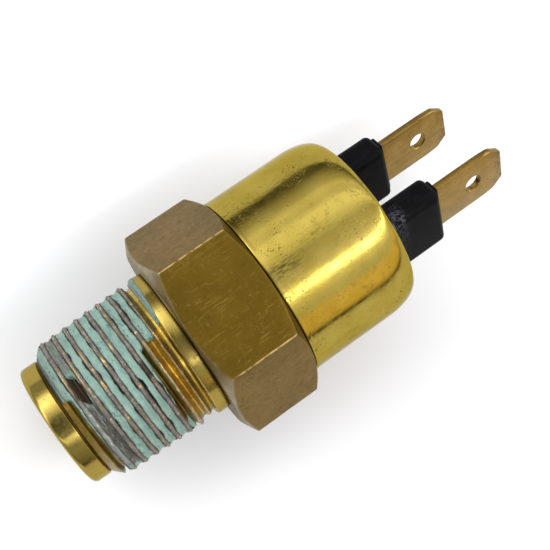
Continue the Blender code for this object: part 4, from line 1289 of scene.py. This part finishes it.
# ------------------------------------------------------------------ terminals
def blade(index):
    """Blade with rounded sheared edges, leg and foot."""
    y0, y1 = BLADE_OFFSET - 0.5 * BLADE_T, BLADE_OFFSET + 0.5 * BLADE_T
    xa, xb = BLADE_STAGGER - 0.5 * BLADE_W, BLADE_STAGGER + 0.5 * BLADE_W
    bm = bmesh.new()
    c = BLADE_CHAMFER
    tip = BLADE_TIP
    outline = [(xa, 16.55), (xb, 16.55), (xb, tip - 1.15 * c), (xb - 0.85 * c, tip),
               (xa + 0.85 * c, tip), (xa, tip - 1.15 * c)]
    vs = [bm.verts.new((x, y0, z)) for x, z in outline]
    face = bm.faces.new(vs)
    out = bmesh.ops.extrude_face_region(bm, geom=[face])
    moved = [g for g in out["geom"] if isinstance(g, bmesh.types.BMVert)]
    bmesh.ops.translate(bm, vec=(0, BLADE_T, 0), verts=moved)
    bmesh.ops.recalc_face_normals(bm, faces=bm.faces)
    # tip corners slightly rounded
    ends = [e for e in bm.edges if abs(e.verts[0].co.y - e.verts[1].co.y) > 0.1
            and e.verts[0].co.z > 30.0]
    bmesh.ops.bevel(bm, geom=ends, offset=0.22, segments=4, profile=0.5,
                    affect='EDGES', clamp_overlap=True)
    # lead-in round the tip, then every long edge eased
    rim = [e for e in bm.edges if abs(e.verts[0].co.y - e.verts[1].co.y) < 1e-4
           and all(v.co.z > tip - 1.15 * c - 0.25 for v in e.verts)]
    bmesh.ops.bevel(bm, geom=rim, offset=0.20, segments=3, profile=0.5,
                    affect='EDGES', clamp_overlap=True)
    sides = [e for e in bm.edges if abs(e.verts[0].co.y - e.verts[1].co.y) < 1e-4
             and abs(e.verts[0].co.z - e.verts[1].co.z) > 5.0
             and len(e.link_faces) == 2
             and e.link_faces[0].normal.dot(e.link_faces[1].normal) < 0.5]
    bmesh.ops.bevel(bm, geom=sides, offset=0.10, segments=3, profile=0.5,
                    affect='EDGES', clamp_overlap=True)
    mesh = bpy.data.meshes.new("terminal_blade_%d" % index)
    bm.to_mesh(mesh)
    bm.free()
    blade_place(mesh, index)
    ob = link("terminal_blade_%d" % index, mesh, [M_BLADE])
    # detent hole with eased rims
    hole = bpy.data.meshes.new("hole")
    bm = bmesh.new()
    prof = [(0.0, -2.0), (1.6, -2.0), (BLADE_HOLE_R + 0.16, -0.5 * BLADE_T - 0.02),
            (BLADE_HOLE_R + 0.10, -0.5 * BLADE_T + 0.02),
            (BLADE_HOLE_R, -0.5 * BLADE_T + 0.14), (BLADE_HOLE_R, 0.5 * BLADE_T - 0.10),
            (BLADE_HOLE_R + 0.07, 0.5 * BLADE_T), (BLADE_HOLE_R + 0.10, 2.0), (0.0, 2.0)]
    seg = 48
    rings = []
    for r, y in prof:
        if r == 0.0:
            v = bm.verts.new((BLADE_STAGGER, BLADE_OFFSET + y, BLADE_HOLE_Z))
            rings.append([v] * seg)
        else:
            rings.append([bm.verts.new((
                BLADE_STAGGER + r * math.cos(TAU * i / seg), BLADE_OFFSET + y,
                BLADE_HOLE_Z + r * math.sin(TAU * i / seg))) for i in range(seg)])
    for a, b in zip(rings, rings[1:]):
        for i in range(seg):
            j = (i + 1) % seg
            corners = []
            for v in (a[i], a[j], b[j], b[i]):
                if v not in corners:
                    corners.append(v)
            if len(corners) > 2:
                bm.faces.new(corners)
    bmesh.ops.recalc_face_normals(bm, faces=bm.faces)
    bm.to_mesh(hole)
    bm.free()
    blade_place(hole, index)
    tool = link("hole_tool_%d" % index, hole, [])
    mod = ob.modifiers.new("hole", 'BOOLEAN')
    mod.operation, mod.solver, mod.object = 'DIFFERENCE', 'EXACT', tool
    bpy.context.view_layer.update()
    graph = bpy.context.evaluated_depsgraph_get()
    cut = bpy.data.meshes.new_from_object(ob.evaluated_get(graph))
    ob.modifiers.clear()
    old = ob.data
    ob.data = cut
    bpy.data.meshes.remove(old)
    bpy.data.objects.remove(tool, do_unlink=True)
    bpy.data.meshes.remove(hole)
    cut.name = ob.name
    # the foot, turned outwards in the contact chamber
    bm = bmesh.new()
    bm.from_mesh(cut)
    foot = bmesh.ops.create_cube(bm, size=1.0)["verts"]
    bmesh.ops.scale(bm, vec=(BLADE_W - 0.02, 7.20 - y0, BLADE_T), verts=foot)
    bmesh.ops.translate(bm, vec=(BLADE_STAGGER, 0.5 * (7.20 + y0), 16.55 + 0.5 * BLADE_T),
                        verts=foot)
    fe = list({e for v in foot for e in v.link_edges})
    res = bmesh.ops.bevel(bm, geom=fe, offset=0.08, segments=2, profile=0.5,
                          affect='EDGES', clamp_overlap=True)
    keep = {v for f in res["faces"] for v in f.verts}
    grow = set(keep)
    stack = list(keep)
    while stack:
        v = stack.pop()
        for e in v.link_edges:
            o = e.other_vert(v)
            if o not in grow:
                grow.add(o)
                stack.append(o)
    bmesh.ops.transform(bm, matrix=Matrix.Scale(MM, 4) @ BLADES[index], verts=list(grow))
    bm.to_mesh(cut)
    bm.free()
    shade(ob, 30.0)
    return ob


for index in (1, 2):
    piece = blade(index)
    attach(piece, "housing")
    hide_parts("terminal_%d" % index)


# ------------------------------------------------------------------ adjuster
def screw_piece():
    """Slotted calibration screw with a rounded point."""
    seg = 96
    t = np.arange(seg) * 360.0 / seg + 360.0 / seg / 2
    profile = rounded([(21.10, 0.0), (21.10, 1.18), (21.46, 1.50), (24.24, 1.50),
                       (24.40, 1.34), (24.40, 0.0)], [0, 0.06, 0.10, 0.05, 0.06, 0], 3)
    sh = Shell()
    rings = []
    for x, r in spaced(profile, 0.16):
        if r < 1e-6:
            ids = sh.ring(polar(np.full(1, x), 0.0, 0.0))
            rings.append(np.repeat(ids, seg))
            continue
        ridge = 0.0
        if 21.5 < x < 24.2:
            ridge = -0.035 * (0.5 - 0.5 * np.cos(TAU * (x / 0.5 - t / 360.0)))
        rings.append(sh.ring(polar(x, np.full(seg, r) + ridge, t)))
    for a, b in zip(rings, rings[1:]):
        sh.join(a, b)
    ob = sh.build("calibration_screw_fine", [M_SCREW], 40.0)
    slot = bpy.data.meshes.new("slot")
    bm = bmesh.new()
    bmesh.ops.create_cube(bm, size=1.0)
    bmesh.ops.scale(bm, vec=(1.6, 4.2, 0.50), verts=bm.verts)
    bmesh.ops.translate(bm, vec=(24.40, 0.0, 0.0), verts=bm.verts)
    low = [e for e in bm.edges if all(v.co.x < 24.0 for v in e.verts)
           and abs(e.verts[0].co.y - e.verts[1].co.y) > 1.0]
    bmesh.ops.bevel(bm, geom=low, offset=0.08, segments=2, profile=0.5,
                    affect='EDGES', clamp_overlap=True)
    bmesh.ops.rotate(bm, cent=(0, 0, 0), verts=bm.verts,
                     matrix=Matrix.Rotation(math.radians(90.0), 3, 'X'))
    bmesh.ops.scale(bm, vec=(MM, MM, MM), verts=bm.verts)
    bm.to_mesh(slot)
    bm.free()
    tool = link("slot_tool", slot, [])
    mod = ob.modifiers.new("slot", 'BOOLEAN')
    mod.operation, mod.solver, mod.object = 'DIFFERENCE', 'EXACT', tool
    bpy.context.view_layer.update()
    graph = bpy.context.evaluated_depsgraph_get()
    cut = bpy.data.meshes.new_from_object(ob.evaluated_get(graph))
    ob.modifiers.clear()
    old = ob.data
    ob.data = cut
    bpy.data.meshes.remove(old)
    bpy.data.objects.remove(tool, do_unlink=True)
    bpy.data.meshes.remove(slot)
    shade(ob, 35.0)
    return ob


screw = screw_piece()
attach(screw, "set_screw")
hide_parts("calibration_screw")

seat = turned("spring_seat_fine", rounded(
    [(20.95, 0.0), (20.95, 2.30), (20.75, 2.50), (20.28, 2.50), (20.28, 1.50),
     (19.50, 1.50), (19.30, 1.30), (19.30, 0.0)],
    [0, 0.06, 0.06, 0.05, 0.08, 0.06, 0.05, 0], 3), [M_STEEL], seg=72)
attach(seat, "adjuster")
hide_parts("spring_seat")


# ------------------------------------------------------------------ inner parts
def spring_piece():
    """Closed and ground compression spring, swept as a tube."""
    z0, z1, wire, radius, coils = 15.20, 20.12, 0.27, 2.08, 6.0
    lo, hi, flat = z0 + wire, z1 - wire, 0.62
    per, sides = 40, 14
    count = int(coils * per) + 1
    sh = Shell()
    rings = []
    for i in range(count):
        turn = coils * i / (count - 1)
        if turn < 1.0:
            h = lo + flat * turn
        elif turn > coils - 1.0:
            h = hi - flat * (coils - turn)
        else:
            h = lo + flat + (turn - 1.0) / (coils - 2.0) * (hi - lo - 2.0 * flat)
        a = 180.0 - 360.0 * turn
        u = np.arange(sides) * TAU / sides
        rings.append(sh.ring(polar(h + wire * np.sin(u), radius + wire * np.cos(u), a)))
    for a, b in zip(rings, rings[1:]):
        sh.join(a, b)
    sh.cap(rings[0])
    sh.cap(rings[-1], flip=True)
    return sh.build("calibration_spring_fine", [M_SPRING], 50.0)


coil = spring_piece()
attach(coil, "housing")
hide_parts("calibration_spring")

FINE = {
    "piston": ("plunger", M_STEEL, "steel", False, [
        (12.30, 0.0), (12.30, 1.30), (12.10, 1.50), (9.75, 1.50), (9.75, 3.80),
        (9.55, 4.00), (8.95, 4.00), (8.75, 3.80), (8.75, 0.0)],
        [0, 0.06, 0.06, 0.10, 0.06, 0.06, 0.06, 0.06, 0]),
    "pusher": ("plunger", M_NYLON, "plastic_white", False, [
        (15.60, 0.0), (15.60, 1.10), (15.40, 1.30), (13.75, 1.30), (13.75, 2.80),
        (13.55, 3.00), (12.65, 3.00), (12.45, 2.80), (12.45, 0.0)],
        [0, 0.08, 0.08, 0.10, 0.08, 0.08, 0.08, 0.08, 0]),
    "guide_plate": ("housing", M_STEEL, "steel", True, [
        (11.50, 8.00), (10.70, 8.00), (10.70, 1.60), (11.50, 1.60)],
        [0, 0.06, 0.06, 0]),
    "clamp_ring": ("housing", M_STEEL, "steel", True, [
        (10.55, 8.00), (8.75, 8.00), (8.75, 6.10), (8.95, 5.90), (10.55, 5.90)],
        [0, 0.08, 0.06, 0.06, 0]),
}
for name, (rides, mat, slot, closed, points, radii) in FINE.items():
    prof = rounded(points, radii, 3)
    piece = turned(name + "_fine", prof, [mat], seg=72, closed=closed)
    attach(piece, rides)
    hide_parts(name)

roll_o, roll_i = [], []
for i in range(17):
    a = math.pi * i / 16.0
    roll_o.append((8.60 + 0.50 * math.sin(a), 4.95 - 0.65 * math.cos(a)))
    roll_i.append((8.30 + 0.45 * math.sin(a), 4.95 + 0.36 * math.cos(a)))
film = turned("diaphragm_fine", [(8.60, 0.0), (8.60, 2.0), (8.60, 4.0)] + roll_o +
              [(8.60, 6.5), (8.58, 7.86), (8.45, 7.90), (8.32, 7.86), (8.30, 6.5)] +
              roll_i + [(8.30, 4.0), (8.30, 2.0), (8.30, 0.0)], [M_FILM], seg=96)
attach(film, "housing")
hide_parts("diaphragm")

for name, major, minor, at in (("diaphragm_seal", 6.90, 0.60, 7.55),
                               ("header_seal", 9.80, 0.42, 18.90)):
    u = [TAU * k / 18 for k in range(18)]
    piece = turned(name + "_fine", [(at + minor * math.sin(a), major + minor * math.cos(a))
                                    for a in u], [M_RUBBER], seg=96, closed=True)
    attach(piece, "housing")
    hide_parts(name)


def eased_copy(name, mat, width):
    """A copy of a CAD node with its edges eased."""
    mesh = nodes[name].data.copy()
    mesh.materials.clear()
    bm = bmesh.new()
    bm.from_mesh(mesh)
    bmesh.ops.remove_doubles(bm, verts=bm.verts, dist=1e-7)
    bmesh.ops.dissolve_limit(bm, angle_limit=math.radians(1.0), verts=bm.verts,
                             edges=bm.edges)
    sharp = [e for e in bm.edges if len(e.link_faces) == 2
             and e.calc_face_angle(0.0) > math.radians(35.0)]
    bmesh.ops.bevel(bm, geom=sharp, offset=width * MM, segments=3, profile=0.5,
                    affect='EDGES', clamp_overlap=True)
    bm.to_mesh(mesh)
    bm.free()
    ob = link(name + "_fine", mesh, [mat])
    shade(ob, 30.0)
    return ob


for name, mat, slot, rides, width in (
        ("contact_bridge", M_BLADE, "brass_blade", "plunger", 0.06),
        ("moving_contact_1", M_SILVER, "silver", "plunger", 0.10),
        ("moving_contact_2", M_SILVER, "silver", "plunger", 0.10),
        ("fixed_contact_1", M_SILVER, "silver", "housing", 0.10),
        ("fixed_contact_2", M_SILVER, "silver", "housing", 0.10)):
    piece = eased_copy(name, mat, width)
    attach(piece, rides)
    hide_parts(name)


# ------------------------------------------------------------------ stage
def stage_floor():
    m = Nodes("floor_pale")
    n = m.noise(0.02, 3.0, 0.6)
    col = m.mix(m.step(n, 0.3, 0.7), (0.790, 0.793, 0.798), (0.805, 0.808, 0.812))
    m.set(Base_Color=col, Roughness=0.85, Metallic=0.0)
    m.bsdf.inputs["Specular IOR Level"].default_value = 0.15
    mesh = bpy.data.meshes.new("studio_floor")
    z = (-0.5 * HEX_AF - 0.02) * MM
    s = 2.5
    mesh.from_pydata([(-s, -s, z), (s, -s, z), (s, s, z), (-s, s, z)], [], [(0, 1, 2, 3)])
    ob = link("studio_floor", mesh, [m.mat])


stage_floor()


def studio_light():
    """Soft light from all round: broad pale panels, dimmer gaps between them."""
    world = bpy.data.worlds.new("studio")
    bpy.context.scene.world = world
    world.use_nodes = True
    t = world.node_tree
    t.nodes.clear()
    out = t.nodes.new("ShaderNodeOutputWorld")
    tex = t.nodes.new("ShaderNodeTexCoord")
    sep = t.nodes.new("ShaderNodeSeparateXYZ")
    t.links.new(tex.outputs["Generated"], sep.inputs[0])
    at = t.nodes.new("ShaderNodeMath")
    at.operation = 'ARCTAN2'
    t.links.new(sep.outputs["Y"], at.inputs[0])
    t.links.new(sep.outputs["Z"], at.inputs[1])
    u = t.nodes.new("ShaderNodeMapRange")
    t.links.new(at.outputs[0], u.inputs["Value"])
    u.inputs["From Min"].default_value = -0.5 * math.pi
    u.inputs["From Max"].default_value = 0.5 * math.pi

    top = 10.0

    def ramp(stops):
        n = t.nodes.new("ShaderNodeValToRGB")
        r = n.color_ramp
        r.interpolation = 'EASE'
        while len(r.elements) > 1:
            r.elements.remove(r.elements[-1])
        first = True
        for deg, val in sorted(stops):
            val = val if isinstance(val, tuple) else (val, val, val)
            pos = (deg + 90.0) / 180.0
            if first:
                e = r.elements[0]
                e.position = pos
                first = False
            else:
                e = r.elements.new(pos)
            e.color = (val[0] / top, val[1] / top, val[2] / top, 1.0)
        t.links.new(u.outputs["Result"], n.inputs["Fac"])
        return n.outputs["Color"]

    warm = (1.55, 1.22, 0.62)
    cap_side = ramp([
        (-90, 0.10), (-86.5, 0.14), (-83, (1.35, 1.05, 0.50)), (-76, warm),
        (-63, warm), (-58, 1.20), (-50, 1.30), (-42, 1.70), (-36, (2.6, 2.6, 2.8)),
        (-33, (9.0, 9.0, 9.6)), (-28, (9.0, 9.0, 9.6)), (-24.5, (1.8, 1.8, 2.2)),
        (-14, (1.30, 1.30, 1.45)), (-4, 1.10), (4, 0.98),
        (12, 1.60), (22, 2.05), (33, 2.05), (39, 1.30), (50, 1.55), (58, 1.00),
        (66, 0.75), (74, 0.36), (79, 0.18), (86, 0.17), (90, 0.20)])
    nose_side = ramp([
        (-90, 0.08), (-84, 0.14), (-78, 0.36), (-66, 0.50), (-52, 0.62), (-42, 0.55),
        (-35, 1.10), (-32, 2.60), (-27, 2.60), (-23, 0.48), (-8, 0.24), (6, 0.18),
        (14, 0.36), (22, 1.35), (32, 2.70), (40, 4.2), (52, 4.2), (57, 2.30),
        (62, 0.90), (72, 0.55), (84, 0.60), (90, 0.50)])
    w = t.nodes.new("ShaderNodeMapRange")
    w.interpolation_type = 'SMOOTHSTEP'
    t.links.new(sep.outputs["X"], w.inputs["Value"])
    w.inputs["From Min"].default_value = -0.06
    w.inputs["From Max"].default_value = 0.19
    mix = t.nodes.new("ShaderNodeMix")
    mix.data_type = 'RGBA'
    t.links.new(w.outputs["Result"], mix.inputs["Factor"])
    t.links.new(nose_side, mix.inputs[6])
    t.links.new(cap_side, mix.inputs[7])
    bg = t.nodes.new("ShaderNodeBackground")
    t.links.new(mix.outputs[2], bg.inputs["Color"])
    bg.inputs["Strength"].default_value = top * 1.0
    # the room itself, where the camera sees it, is plain and pale
    plain_bg = t.nodes.new("ShaderNodeBackground")
    plain_bg.inputs["Color"].default_value = (0.90, 0.905, 0.91, 1.0)
    plain_bg.inputs["Strength"].default_value = 1.0
    path = t.nodes.new("ShaderNodeLightPath")
    pick = t.nodes.new("ShaderNodeMixShader")
    t.links.new(path.outputs["Is Camera Ray"], pick.inputs[0])
    t.links.new(bg.outputs[0], pick.inputs[1])
    t.links.new(plain_bg.outputs[0], pick.inputs[2])
    t.links.new(pick.outputs[0], out.inputs[0])


studio_light()

scene = bpy.context.scene
scene.view_settings.view_transform = 'Standard'
scene.view_settings.look = 'None'

cam_data = bpy.data.cameras.new("camera")
cam = bpy.data.objects.new("camera", cam_data)
scene.collection.objects.link(cam)
right = Vector((0.80984, -0.57535, 0.11467)).normalized()
back = Vector((-0.16506, -0.03588, 0.98564)).normalized()
up = back.cross(right).normalized()
right = up.cross(back).normalized()
rot = Matrix((right, up, back)).transposed()
cam.matrix_world = Matrix.Translation(Vector((-5.826, -3.813, 108.285)) * MM) @ rot.to_4x4()
cam_data.sensor_width = 36.0
cam_data.lens = 64.943
cam_data.clip_start = 0.005
cam_data.clip_end = 20.0
scene.camera = cam
